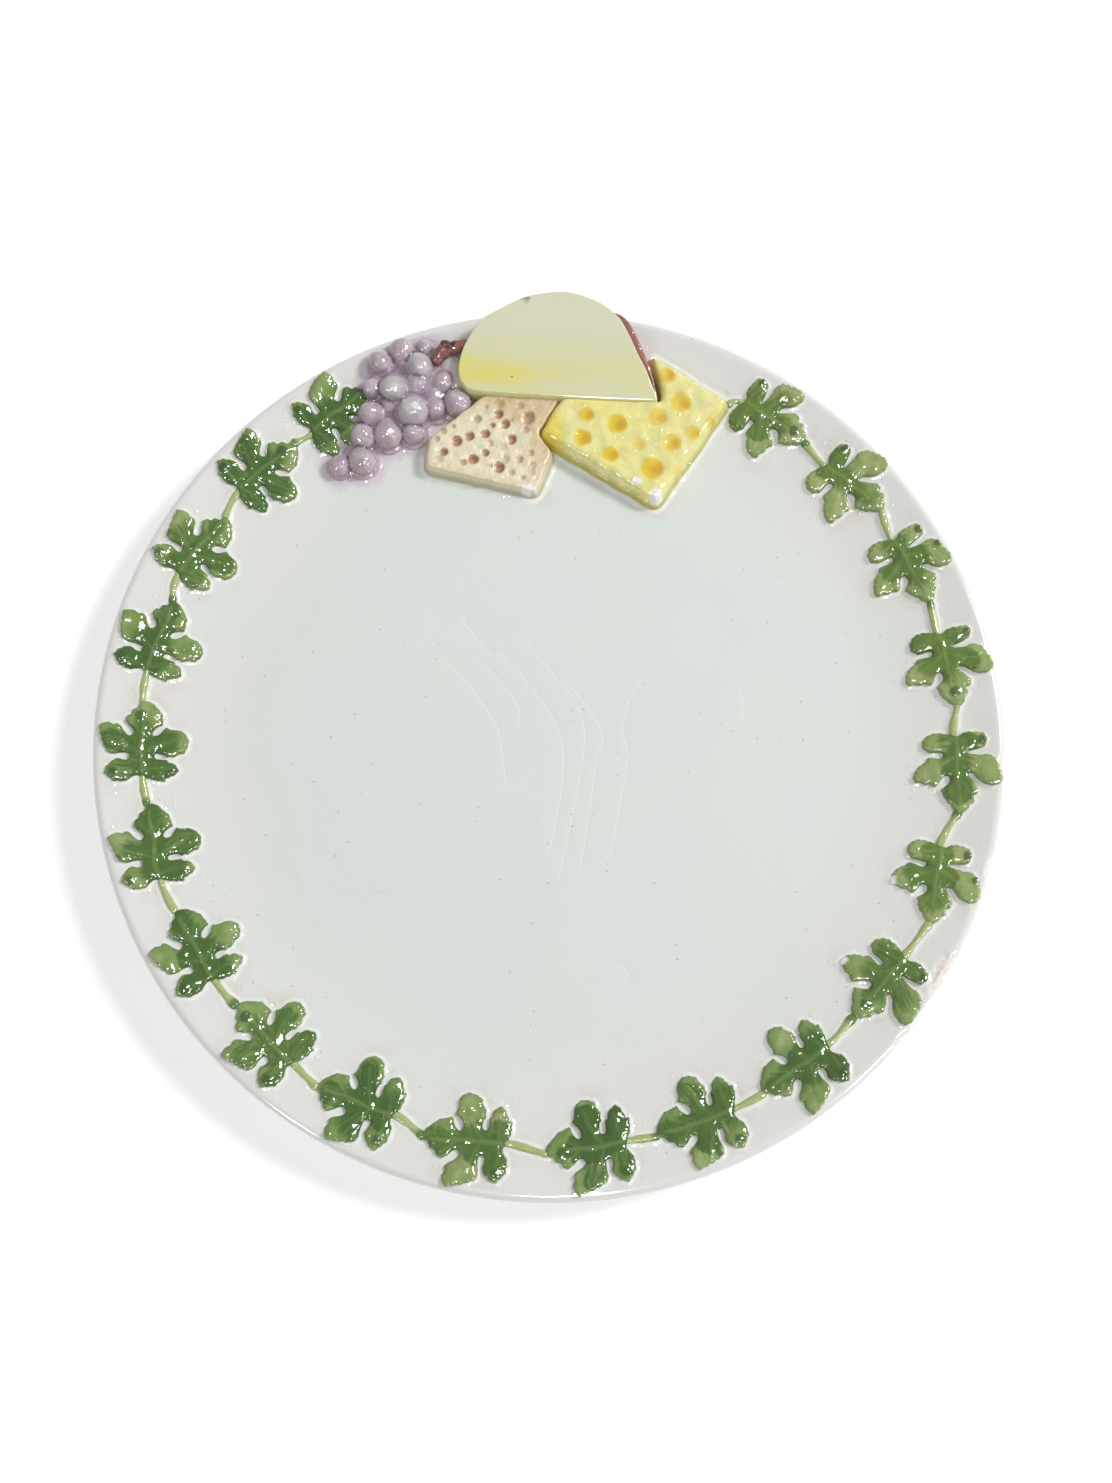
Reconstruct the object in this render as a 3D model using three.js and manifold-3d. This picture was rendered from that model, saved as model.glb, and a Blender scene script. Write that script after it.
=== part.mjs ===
// A glazed earthenware cheese plate: a cast dish with pressed clay reliefs luted to its top.
// A garland of vine leaves runs round the sloping rim, from a holed cheese at one end to grapes at the other.
// Millimetres, +Z up. The origin is on the dish's axis, in the foot ring's plane. +Y points to the cheese.
import * as THREE from "three";
import { mergeVertices } from "three/addons/utils/BufferGeometryUtils.js";
import Module from "manifold-3d";

// The dish: a flat well, a hollow rim that climbs to a round lip, and a foot ring underneath
const PLATE_RADIUS = 150;
const WELL_RADIUS = 100;
const RIM_RISE = 8;
const WALL = 6.5;
const LIP_RADIUS = 2.6;
const FOOT_HEIGHT = 3;
const FOOT_RADIUS = 88;
const FOOT_WIDTH = 8;
const FOOT_DRAFT = 2;

// The bed of slip between a relief and what it is luted to
const SEAT_GAP = 0.3;

// The garland: leaves on a ring, each with its stem running back to the leaf before it
const GARLAND_INSET = 16.3;
const LEAF_LENGTH = 26.5;
const LEAF_WIDTH = 29;
const LEAF_THICKNESS = 1.7;
const VEIN_RISE = 0.6;
const STEM_LENGTH = 9.3;
const STEM_WIDTH = 2.3;
const STEM_THICKNESS = 1.5;
const STEM_LEAD = 3.5;
const STUB_LENGTH = 3.6;
const SHOULDER_SHARE = 0.78;

// The leaf's lobes, in shares of its length and of half its width, with its rim side on the plus side:
// where a lobe springs from the midrib, where it ends, and half its width at the root and at its widest place
const LOBES = {
  lowerOuter: { root: [0.16, 0], tip: [0.02, 0.78], rootHalf: 0.13, half: 0.14, widest: 0.62 },
  lowerInner: { root: [0.2, 0], tip: [0.1, -0.76], rootHalf: 0.13, half: 0.135, widest: 0.6 },
  upperOuter: { root: [0.37, 0], tip: [0.46, 1], rootHalf: 0.12, half: 0.165, widest: 0.68 },
  upperInner: { root: [0.4, 0], tip: [0.58, -0.96], rootHalf: 0.13, half: 0.165, widest: 0.62 },
};
const LOBE_STATIONS = [0, 0.5, 0.82, 0.985];

// The blade along the midrib, from the base past the waist to the spade-shaped end:
// shares of the leaf's length along it and across half of it, and how far it sways to the rim
const BLADE = [
  [0, 0.09], [0.3, 0.17], [0.5, 0.12], [0.7, 0.225], [0.9, 0.15], [1, 0.03],
];
const BLADE_SWAY = 0.05;
const LEAF_CENTRE_SHARE = 0.42;

// Each leaf as it was pressed on by hand: degrees turned outwards, and millimetres slipped along the ring
const LEAF_SETTINGS = [
  [-1, 0], [8, 0.4], [2, -0.3], [2, 0.3], [6, 0.3],
  [10, 2.3], [-5, 4.4], [-1, 6], [-2, 5.7], [3, 4.9],
  [6, 7], [7, 7.2], [-3, 6.5], [-2, 6.6], [-5, 7.2],
  [0, 6.1], [-5, 5.6], [-9, 4.2], [-3, 3.6], [7, 0],
];

// The half wheel lies on the rim with its round side a little past the lip, and its cut side to the well
const HALF_WHEEL_WIDTH = 69;
const HALF_WHEEL_DEPTH = 36.5;
const HALF_WHEEL_OVERHANG = 1.9;
const HALF_WHEEL_THICKNESS = 8;
const HALF_WHEEL_ROUNDING = 0.9;
const HALF_WHEEL_CORNER = 6;
const RIND_THICKNESS = 2.6;
const RIND_BACK_THICKNESS = 1.4;
const RIND_ROUNDING = 1.2;
const RIND_DROP = 3;
const RIND_LEFT_START = 14;

// The square holed cheese, its centre given from the middle of the half wheel's cut side
const HOLED_CHEESE_SIDE = 48.5;
const HOLED_CHEESE_CENTRE = [26.8, -5.8];
const HOLED_CHEESE_TURN = 58.2;
const HOLED_CHEESE_THICKNESS = 7;
const HOLED_CHEESE_ROUNDING = 1.8;

// Its eyes: place from the slab's centre in shares of half its side, and radius at the surface
const EYE_DEPTH_SHARE = 0.55;
const EYES = [
  [-0.71, 0, 2.6], [-0.27, -0.13, 3.4], [-0.76, -0.35, 3], [-0.36, -0.59, 2.8], [0.23, -0.78, 3.9],
  [0.03, -0.43, 2.7], [0.51, -0.39, 3.1], [0.81, -0.23, 2.6], [0.64, 0.22, 3.5], [0.31, -0.01, 3.2],
  [0.43, 0.63, 3], [1.08, -0.05, 2.1], [-0.19, -0.95, 2],
];

// The crispbread: its corners from the left end of the half wheel's cut side, with one corner broken off
const CRISPBREAD_CORNERS = [[-11, -24.5], [28.1, -34.3], [33, -18.5], [33.6, 4], [7, 4], [-10.3, -15]];
const CRISPBREAD_THICKNESS = 4.5;
const CRISPBREAD_ROUNDING = 0.8;

// Its larger docker holes: place from the same point, and radius
const DOCKER_DEPTH = 1.4;
const DOCKER_TAPER = 0.7;
const DOCKER_HOLES = [
  [13.9, -5.1, 1.5], [16.1, -8.7, 1.6], [9.3, -12.6, 1.6], [3.8, -13.5, 1.7], [-0.3, -15.4, 1.8],
  [-4.6, -19.6, 1.5], [6.4, -7.5, 1.4], [18.3, -14.2, 1.6], [9.5, -19.2, 1.4], [5.4, -21.8, 1.8],
  [14.5, -24.5, 1.8], [24, -6.3, 2.1], [23.1, -10.7, 1.4],
];

// The grape bunch: each berry's place from the same point, its radius, and its centre's lift off the dish
const BERRIES = [
  [-20.2, 16.3, 4.1, 4.2], [-27.7, 12.1, 3.9, 4], [-14.2, 11.8, 4.2, 4.8], [-22.8, 2.6, 4.4, 6.5],
  [-14.5, 5.6, 3.4, 3.5], [-6.2, 6.2, 3.6, 4], [-0.8, -0.4, 4.5, 4.5], [-8.1, -2.7, 3.4, 3.5],
  [-15.9, -5.1, 5, 7], [-30.3, 3.6, 3.4, 3], [-30.6, -5.8, 4.1, 4.5], [-24.7, -2.2, 2.7, 2.5],
  [-32.9, -14, 4.2, 4.5], [-24.5, -13.2, 4.5, 5], [-15.7, -11.7, 3.8, 3.5], [-33, -22.7, 4.5, 4.5],
  [-40.7, -24.2, 3.6, 3], [-12.8, 18.7, 2.7, 2.5],
];

// Which of them the last leaf's tip points at
const LAST_LEAF_BERRY = 9;

// The pad of clay that carries the berries: its spine, half its width at each place, its height,
// and how far it reaches down before its seat is cut to the dish
const PAD_SPINE = [[-40, -23.5, 2.5], [-30.5, -15, 6.5], [-19, -3, 14.5], [-13, 7, 16], [-16.5, 17, 9]];
const PAD_THICKNESS = 2.6;
const PAD_SINK = 1;

// The stalk: a cut twig on the bunch, and its side shoot to the half wheel, with their lift off the dish
const STALK_RADIUS = 1.7;
const STALK_POINTS = [[-9.5, 8.5, 4.5], [-7.5, 13, 6.5], [-4.6, 19.2, 7]];
const SHOOT_POINTS = [[-6.3, 15.5, 6.5], [-2.5, 18.2, 7.2], [1.1, 19.2, 7.2]];

// How finely round forms are faceted
const DISH_FACETS = 60;
const RIM_STEPS = 5;
const LIP_STEPS = 4;
const ARC_STEPS = 10;
const ROUNDING_STEPS = 2;
const BALL_DETAIL = 1;
const TWIG_SIDES = 7;
const TWIG_STEPS = 4;
const STEM_STEPS = 3;
const DOCKER_SIDES = 7;
const MERGE_TOLERANCE = 1e-4;

// The glazes' colours and gloss
const DISH_COLOUR = 0xe9ebe6;
const HALF_WHEEL_COLOUR = 0xdcdeb4;
const RIND_COLOUR = 0x7d4a3c;
const HOLED_CHEESE_COLOUR = 0xebe696;
const CRISPBREAD_COLOUR = 0xe1cda5;
const GRAPE_COLOUR = 0xbea5be;
const STALK_COLOUR = 0x6e3a34;
const LEAF_COLOUR = 0x5d8a3c;
const STEM_COLOUR = 0xb9c481;
const GLAZE_ROUGHNESS = 0.18;

// Sizes that follow from the ones above
const WELL_TOP = FOOT_HEIGHT + WALL;
const LIP_CENTRE = PLATE_RADIUS - LIP_RADIUS;
const LIP_SLOPE = Math.atan((2 * RIM_RISE) / (LIP_CENTRE - WELL_RADIUS));
const LIP_HEIGHT = WELL_TOP + RIM_RISE - LIP_RADIUS * Math.cos(LIP_SLOPE);
const GARLAND_RADIUS = PLATE_RADIUS - GARLAND_INSET;
const CUT_SIDE_Y = PLATE_RADIUS + HALF_WHEEL_OVERHANG - HALF_WHEEL_DEPTH;

const wasm = await Module();
wasm.setup();

// A closed geometry as a solid for cutting and joining, and the way back
function solidOf(geometry) {
  const bare = geometry.clone();
  bare.deleteAttribute("normal");
  bare.deleteAttribute("uv");
  const merged = mergeVertices(bare, MERGE_TOLERANCE);
  const mesh = new wasm.Mesh({
    numProp: 3,
    vertProperties: merged.attributes.position.array,
    triVerts: new Uint32Array(merged.index.array),
  });
  return new wasm.Manifold(mesh);
}

function geometryOf(solid) {
  const mesh = solid.getMesh();
  const geometry = new THREE.BufferGeometry();
  geometry.setAttribute("position", new THREE.BufferAttribute(mesh.vertProperties, 3));
  geometry.setIndex(new THREE.BufferAttribute(mesh.triVerts, 1));
  return geometry;
}

function joined(solids) {
  return solids.reduce((whole, solid) => whole.add(solid));
}

function cutBy(solid, cutters) {
  return cutters.reduce((rest, cutter) => rest.subtract(cutter), solid);
}

// The dish's top at a distance from the axis: flat in the well, then a parabola up to the lip
function dishTop(radius) {
  const climb = Math.max(0, radius - WELL_RADIUS) / (LIP_CENTRE - WELL_RADIUS);
  return WELL_TOP + RIM_RISE * climb ** 2;
}

function dishTopAt(x, y) {
  return dishTop(Math.hypot(x, y));
}

// A point given from the middle of the half wheel's cut side, or from its left end, in the plate's frame
function fromCutSide(x, y) {
  return new THREE.Vector2(x, CUT_SIDE_Y + y);
}

function fromLeftEnd(x, y) {
  return fromCutSide(x - HALF_WHEEL_WIDTH / 2, y);
}

// The rim's top from the well to the lip, as a profile
function rimProfile(lift) {
  const points = [];
  for (let i = 0; i <= RIM_STEPS; i += 1) {
    const radius = WELL_RADIUS + ((LIP_CENTRE - WELL_RADIUS) * i) / RIM_STEPS;
    points.push(new THREE.Vector2(radius, dishTop(radius) + lift));
  }
  return points;
}

function revolved(profile) {
  return new THREE.LatheGeometry(profile, DISH_FACETS).rotateX(Math.PI / 2);
}

// The dish's underside: the wall thins evenly from the well to the lip
function dishUnder(radius) {
  const share = Math.max(0, radius - WELL_RADIUS) / (LIP_CENTRE - WELL_RADIUS);
  return dishTop(radius) - THREE.MathUtils.lerp(WALL, 2 * LIP_RADIUS, share);
}

function plateBody() {
  const footInner = FOOT_RADIUS - FOOT_WIDTH / 2;
  const footOuter = FOOT_RADIUS + FOOT_WIDTH / 2;
  const under = rimProfile(0)
    .slice(0, -1)
    .map((point) => new THREE.Vector2(point.x, dishUnder(point.x)));
  const profile = [
    new THREE.Vector2(0, FOOT_HEIGHT),
    ...under.filter((point) => point.x < footInner - FOOT_DRAFT),
    new THREE.Vector2(footInner - FOOT_DRAFT, dishUnder(footInner - FOOT_DRAFT)),
    new THREE.Vector2(footInner, 0),
    new THREE.Vector2(footOuter, 0),
    new THREE.Vector2(footOuter + FOOT_DRAFT, dishUnder(footOuter + FOOT_DRAFT)),
    ...under.filter((point) => point.x > footOuter + FOOT_DRAFT),
  ];
  for (let i = 0; i < LIP_STEPS; i += 1) {
    const angle = LIP_SLOPE - Math.PI / 2 + (Math.PI * i) / LIP_STEPS;
    const outwards = LIP_CENTRE + LIP_RADIUS * Math.cos(angle);
    profile.push(new THREE.Vector2(outwards, LIP_HEIGHT + LIP_RADIUS * Math.sin(angle)));
  }
  profile.push(...rimProfile(0).reverse());
  profile.push(new THREE.Vector2(0, WELL_TOP));
  return solidOf(revolved(profile));
}

// Everything under the reliefs' seats: the dish's top, raised by the bed of slip and carried on past the lip
function seatCutter() {
  const reach = PLATE_RADIUS + HALF_WHEEL_DEPTH;
  const lipTop = LIP_HEIGHT + LIP_RADIUS + SEAT_GAP;
  const profile = [
    new THREE.Vector2(0, -FOOT_HEIGHT),
    new THREE.Vector2(reach, -FOOT_HEIGHT),
    new THREE.Vector2(reach, lipTop),
    new THREE.Vector2(LIP_CENTRE, lipTop),
    ...rimProfile(SEAT_GAP).slice(0, -1).reverse(),
    new THREE.Vector2(0, WELL_TOP + SEAT_GAP),
  ];
  return solidOf(revolved(profile));
}

// Lays flat clay on the dish: each point rises by the dish's height under it and by the bed of slip
function draped(geometry) {
  const position = geometry.attributes.position;
  for (let i = 0; i < position.count; i += 1) {
    const seat = dishTopAt(position.getX(i), position.getY(i)) + SEAT_GAP;
    position.setZ(i, position.getZ(i) + seat);
  }
  return geometry;
}

// A pressed ridge of clay with a flat underside. A station has a centre, a heading, half a width and heights.
// Across it run an edge at the base, a shoulder, the crest, a shoulder and the other edge.
function ridge(stations) {
  const across = [-1, -SHOULDER_SHARE, 0, SHOULDER_SHARE, 1];
  const ring = across.length;
  const vertices = [];
  const triangles = [];
  for (const { centre, heading, half, shoulder, crest, base = 0 } of stations) {
    const heights = [base, shoulder, crest, shoulder, base];
    across.forEach((share, k) => {
      const x = centre.x - Math.sin(heading) * half * share;
      const y = centre.y + Math.cos(heading) * half * share;
      vertices.push(x, y, heights[k]);
    });
  }
  for (let i = 0; i + 1 < stations.length; i += 1) {
    for (let k = 0; k < ring; k += 1) {
      const a = i * ring + k;
      const b = i * ring + ((k + 1) % ring);
      triangles.push(a, a + ring, b, b, a + ring, b + ring);
    }
  }
  const last = (stations.length - 1) * ring;
  for (let k = 1; k + 1 < ring; k += 1) {
    triangles.push(0, k, k + 1);
    triangles.push(last, last + k + 1, last + k);
  }
  const geometry = new THREE.BufferGeometry();
  geometry.setAttribute("position", new THREE.Float32BufferAttribute(vertices, 3));
  geometry.setIndex(triangles);
  return geometry;
}

// The vine leaf lies along +X from its base to its tip, with its rim side on +Y
function lobeHalf(lobe, t) {
  if (t < lobe.widest) {
    return THREE.MathUtils.lerp(lobe.rootHalf, lobe.half, t / lobe.widest);
  }
  const past = (t - lobe.widest) / (1 - lobe.widest);
  return lobe.half * Math.sqrt(1 - past ** 2);
}

function leafLobe(lobe, margin) {
  const root = new THREE.Vector2(lobe.root[0] * LEAF_LENGTH, (lobe.root[1] * LEAF_WIDTH) / 2);
  const tip = new THREE.Vector2(lobe.tip[0] * LEAF_LENGTH, (lobe.tip[1] * LEAF_WIDTH) / 2);
  const along = tip.clone().sub(root).normalize();
  const end = tip.clone().addScaledVector(along, margin);
  const stations = LOBE_STATIONS.map((t) => ({
    centre: root.clone().lerp(end, t),
    heading: along.angle(),
    half: lobeHalf(lobe, t) * LEAF_LENGTH + margin,
    shoulder: LEAF_THICKNESS + margin,
    crest: LEAF_THICKNESS + VEIN_RISE * (1 - t) + margin,
    base: -margin,
  }));
  return solidOf(ridge(stations));
}

function leafBlade(margin) {
  const stations = BLADE.map(([share, half]) => ({
    centre: new THREE.Vector2(
      THREE.MathUtils.lerp(-margin, LEAF_LENGTH + margin, share),
      Math.sin(share * Math.PI) * BLADE_SWAY * LEAF_LENGTH,
    ),
    heading: 0,
    half: half * LEAF_LENGTH + margin,
    shoulder: LEAF_THICKNESS + margin,
    crest: LEAF_THICKNESS + VEIN_RISE + margin,
    base: -margin,
  }));
  return solidOf(ridge(stations));
}

// The whole leaf, grown by a margin where it cuts the stem that runs up to it
function leafForm(margin) {
  return joined([leafBlade(margin), ...Object.values(LOBES).map((lobe) => leafLobe(lobe, margin))]);
}

// How far a place lies from the plate's +Y, measured along the garland's ring
function alongRing(place) {
  return GARLAND_RADIUS * Math.atan2(Math.abs(place.x), place.y);
}

// The holed cheese's corner that the first stem springs from
function holedCheeseCorner() {
  return holedCheeseShape(0)
    .getPoints()
    .reduce((far, point) => (point.x > far.x ? point : far));
}

// The garland runs clockwise, from the stub at the holed cheese's corner to the berry at the last leaf's tip
function garlandEnds() {
  const start = alongRing(holedCheeseCorner()) + STUB_LENGTH + LEAF_CENTRE_SHARE * LEAF_LENGTH;
  const berry = fromLeftEnd(...BERRIES[LAST_LEAF_BERRY]);
  const left = alongRing(berry) + (1 - LEAF_CENTRE_SHARE) * LEAF_LENGTH;
  return { start, span: 2 * Math.PI * GARLAND_RADIUS - start - left };
}

function leafCount() {
  return Math.round(garlandEnds().span / (LEAF_LENGTH + STEM_LENGTH)) + 1;
}

// A leaf's own place: the clockwise angle to it on the ring, and how far it is turned
function leafPose(index, count) {
  const { start, span } = garlandEnds();
  const share = index / (count - 1);
  const [turn, slip] = LEAF_SETTINGS[Math.round(share * (LEAF_SETTINGS.length - 1))];
  const along = start + span * share + slip;
  return { angle: Math.PI / 2 - along / GARLAND_RADIUS, turn: THREE.MathUtils.degToRad(turn) };
}

// From the leaf's own axes to the ring at +X, where the rim side faces out and the tip points clockwise
function layOnRing(pose) {
  const matrix = new THREE.Matrix4().makeTranslation(GARLAND_RADIUS, 0, 0);
  matrix.multiply(new THREE.Matrix4().makeRotationZ(pose.turn - Math.PI / 2));
  return matrix.multiply(new THREE.Matrix4().makeTranslation(-LEAF_CENTRE_SHARE * LEAF_LENGTH, 0, 0));
}

// A point on a leaf's midrib, in the plate's frame
function onMidrib(pose, along) {
  const point = new THREE.Vector3(along, 0, 0).applyMatrix4(layOnRing(pose));
  point.applyAxisAngle(new THREE.Vector3(0, 0, 1), pose.angle);
  return new THREE.Vector2(point.x, point.y);
}

// A leaf form on the dish at +X, where its place on the ring is turned to from
function laidLeaf(form, pose) {
  return draped(geometryOf(form).applyMatrix4(layOnRing(pose)));
}

// A stem leaves its leaf straight back from the base, and bends to the tip of the leaf before.
// The first one bends to the holed cheese instead.
function vineStem(pose, before) {
  const start = onMidrib(pose, -SEAT_GAP);
  const straight = onMidrib(pose, -STEM_LEAD);
  const end = before ? onMidrib(before, LEAF_LENGTH) : holedCheeseCorner();
  const path = new THREE.QuadraticBezierCurve(start, straight, end);
  const stations = [];
  for (let i = 0; i <= STEM_STEPS; i += 1) {
    stations.push({
      centre: path.getPoint(i / STEM_STEPS),
      heading: path.getTangent(i / STEM_STEPS).angle(),
      half: STEM_WIDTH / 2,
      shoulder: STEM_THICKNESS * SHOULDER_SHARE,
      crest: STEM_THICKNESS,
    });
  }
  const stem = solidOf(draped(ridge(stations)));
  return before ? stem.subtract(solidOf(laidLeaf(leafForm(SEAT_GAP), before).rotateZ(before.angle))) : stem;
}

// A slab of clay standing on the foot's plane, with rounded edges. Its top tilts up along +Y from a line.
function slab(shape, top, rounding, tilt, tiltFrom) {
  const geometry = new THREE.ExtrudeGeometry(shape, {
    depth: top - 2 * rounding,
    curveSegments: ARC_STEPS,
    bevelThickness: rounding,
    bevelSize: rounding,
    bevelOffset: -rounding,
    bevelSegments: ROUNDING_STEPS,
  });
  const shear = new THREE.Matrix4().set(1, 0, 0, 0, 0, 1, 0, 0, 0, tilt, 1, -tilt * tiltFrom, 0, 0, 0, 1);
  return geometry.translate(0, 0, rounding).applyMatrix4(shear);
}

// A straight cutter over a slab's outline
function prism(shape, height) {
  const geometry = new THREE.ExtrudeGeometry(shape, {
    depth: height,
    curveSegments: ARC_STEPS,
    bevelEnabled: false,
  });
  return solidOf(geometry);
}

// The slope of the dish between two places, along +Y
function dishTilt(front, back) {
  return (dishTopAt(back.x, back.y) - dishTopAt(front.x, front.y)) / (back.y - front.y);
}

const CUTTER_HEIGHT = WELL_TOP + RIM_RISE + 3 * HALF_WHEEL_THICKNESS;

// The half wheel's outline with its worn left corner, grown by a margin and, if given, by another at the back
function halfWheelShape(margin, backMargin = margin) {
  const half = HALF_WHEEL_WIDTH / 2 + margin;
  const front = CUT_SIDE_Y - margin;
  const arcEnd = Math.PI - Math.asin(HALF_WHEEL_CORNER / HALF_WHEEL_DEPTH);
  const shape = new THREE.Shape();
  shape.moveTo(-half + HALF_WHEEL_CORNER, front);
  shape.lineTo(half, front);
  shape.lineTo(half, CUT_SIDE_Y);
  shape.absellipse(0, CUT_SIDE_Y, half, HALF_WHEEL_DEPTH + backMargin, 0, arcEnd, false, 0);
  shape.quadraticCurveTo(-half, front, -half + HALF_WHEEL_CORNER, front);
  return shape;
}

const halfWheelFront = fromCutSide(0, 0);
const halfWheelBack = new THREE.Vector2(0, LIP_CENTRE);
const halfWheelTilt = dishTilt(halfWheelFront, halfWheelBack);
const halfWheelTop = dishTop(CUT_SIDE_Y) + HALF_WHEEL_THICKNESS;

function halfWheel(seat) {
  const shape = halfWheelShape(0);
  return solidOf(slab(shape, halfWheelTop, HALF_WHEEL_ROUNDING, halfWheelTilt, CUT_SIDE_Y)).subtract(seat);
}

// What the rind leaves bare: the cut side, and the round side's first stretch on the left
function bareSide(margin) {
  const reach = HALF_WHEEL_WIDTH;
  const left = CUT_SIDE_Y + RIND_LEFT_START - margin;
  const right = CUT_SIDE_Y - margin;
  const shape = new THREE.Shape();
  shape.moveTo(-reach, CUT_SIDE_Y - reach);
  shape.lineTo(reach, CUT_SIDE_Y - reach);
  shape.lineTo(reach, right);
  shape.lineTo(0, right);
  shape.lineTo(0, left);
  shape.lineTo(-reach, left);
  return prism(shape, CUTTER_HEIGHT);
}

// The rind's outline wraps the rest of the round side, thinner at the back than at the sides
function rindShape(margin) {
  const bed = SEAT_GAP + margin;
  return halfWheelShape(RIND_THICKNESS + bed, RIND_BACK_THICKNESS + bed);
}

function cheeseRind(seat) {
  const band = slab(rindShape(0), halfWheelTop - RIND_DROP, RIND_ROUNDING, halfWheelTilt, CUT_SIDE_Y);
  return cutBy(solidOf(band), [prism(halfWheelShape(SEAT_GAP), CUTTER_HEIGHT), bareSide(0), seat]);
}

// A straight cutter over the half wheel and its rind
function wheelAndRindCutter() {
  const rind = prism(rindShape(SEAT_GAP), CUTTER_HEIGHT).subtract(bareSide(SEAT_GAP));
  return prism(halfWheelShape(SEAT_GAP), CUTTER_HEIGHT).add(rind);
}

function holedCheeseShape(margin) {
  const half = HOLED_CHEESE_SIDE / 2 + margin;
  const centre = fromCutSide(...HOLED_CHEESE_CENTRE);
  const corners = [[-half, -half], [half, -half], [half, half], [-half, half]].map(([x, y]) =>
    new THREE.Vector2(x, y)
      .rotateAround(new THREE.Vector2(), THREE.MathUtils.degToRad(HOLED_CHEESE_TURN))
      .add(centre),
  );
  return new THREE.Shape(corners);
}

function holedCheese(seat, wheelCutter) {
  const corners = holedCheeseShape(0).getPoints();
  const front = corners.reduce((low, corner) => (corner.y < low.y ? corner : low));
  const tilt = dishTilt(front, holedCheeseCorner());
  const top = dishTopAt(front.x, front.y) + HOLED_CHEESE_THICKNESS;
  const body = slab(holedCheeseShape(0), top, HOLED_CHEESE_ROUNDING, tilt, front.y);
  const centre = fromCutSide(...HOLED_CHEESE_CENTRE);
  const eyes = EYES.map(([x, y, radius]) => {
    const depth = radius * EYE_DEPTH_SHARE;
    const ball = (radius ** 2 + depth ** 2) / (2 * depth);
    const place = new THREE.Vector2(x, y).multiplyScalar(HOLED_CHEESE_SIDE / 2).add(centre);
    const height = top + tilt * (place.y - front.y) + ball - depth;
    const geometry = new THREE.IcosahedronGeometry(ball, BALL_DETAIL);
    return solidOf(geometry.translate(place.x, place.y, height));
  });
  return cutBy(solidOf(body), [wheelCutter, ...eyes, seat]);
}

function crispbread(seat, neighbours) {
  const corners = CRISPBREAD_CORNERS.map(([x, y]) => fromLeftEnd(x, y));
  const front = corners.reduce((low, corner) => (corner.y < low.y ? corner : low));
  const tilt = dishTilt(front, new THREE.Vector2(front.x, CUT_SIDE_Y));
  const top = dishTopAt(front.x, front.y) + CRISPBREAD_THICKNESS;
  const body = slab(new THREE.Shape(corners), top, CRISPBREAD_ROUNDING, tilt, front.y);
  const holes = DOCKER_HOLES.map(([x, y, radius]) => {
    const place = fromLeftEnd(x, y);
    const wide = radius * (2 - DOCKER_TAPER);
    const narrow = radius * DOCKER_TAPER;
    const geometry = new THREE.CylinderGeometry(wide, narrow, 2 * DOCKER_DEPTH, DOCKER_SIDES);
    const level = top + tilt * (place.y - front.y);
    return solidOf(geometry.rotateX(Math.PI / 2).translate(place.x, place.y, level));
  });
  return cutBy(solidOf(body), [...neighbours, ...holes, seat]);
}

// A round twig through points given from the half wheel's left end, each with its lift off the dish
function twig(points, radius) {
  const path = new THREE.CatmullRomCurve3(
    points.map(([x, y, lift]) => {
      const place = fromLeftEnd(x, y);
      return new THREE.Vector3(place.x, place.y, dishTopAt(place.x, place.y) + lift);
    }),
  );
  const section = new THREE.Shape();
  for (let i = 0; i < TWIG_SIDES; i += 1) {
    const angle = (2 * Math.PI * i) / TWIG_SIDES;
    const point = [radius * Math.cos(angle), radius * Math.sin(angle)];
    if (i === 0) section.moveTo(...point);
    else section.lineTo(...point);
  }
  return solidOf(new THREE.ExtrudeGeometry(section, { steps: TWIG_STEPS, extrudePath: path }));
}

function stalk(margin) {
  return twig(STALK_POINTS, STALK_RADIUS + margin).add(twig(SHOOT_POINTS, STALK_RADIUS + margin));
}

// The berries and their pad, grown by a margin to cut the pieces beside them
function grapes(margin) {
  const berries = BERRIES.map(([x, y, radius, lift]) => {
    const place = fromLeftEnd(x, y);
    const geometry = new THREE.IcosahedronGeometry(radius + margin, BALL_DETAIL);
    return solidOf(geometry.translate(place.x, place.y, dishTopAt(place.x, place.y) + lift));
  });
  const spine = PAD_SPINE.map(([x, y]) => fromLeftEnd(x, y));
  const last = spine.length - 1;
  const stations = PAD_SPINE.map(([, , half], i) => {
    const along = spine[Math.min(i + 1, last)].clone().sub(spine[Math.max(i - 1, 0)]).normalize();
    const outwards = { 0: -margin, [last]: margin }[i] ?? 0;
    return {
      centre: spine[i].clone().addScaledVector(along, outwards),
      heading: along.angle(),
      half: half + 2 * margin,
      shoulder: PAD_THICKNESS + margin,
      crest: PAD_THICKNESS + margin,
      base: -PAD_SINK - margin,
    };
  });
  return joined([solidOf(draped(ridge(stations))), ...berries]);
}

const plate = new THREE.Group();

function addPiece(parent, name, solid, colour) {
  const material = new THREE.MeshStandardMaterial({
    color: colour,
    roughness: GLAZE_ROUGHNESS,
    metalness: 0,
  });
  const mesh = new THREE.Mesh(geometryOf(solid), material);
  mesh.name = name;
  parent.add(mesh);
  return mesh;
}

// The dish, and the cheese group at its head, each piece cut clear of the ones laid before it
const seat = seatCutter();
const wheelCutter = wheelAndRindCutter();
const holedCheeseCutter = prism(holedCheeseShape(SEAT_GAP), CUTTER_HEIGHT);
const twigs = stalk(0).subtract(wheelCutter);

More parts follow.
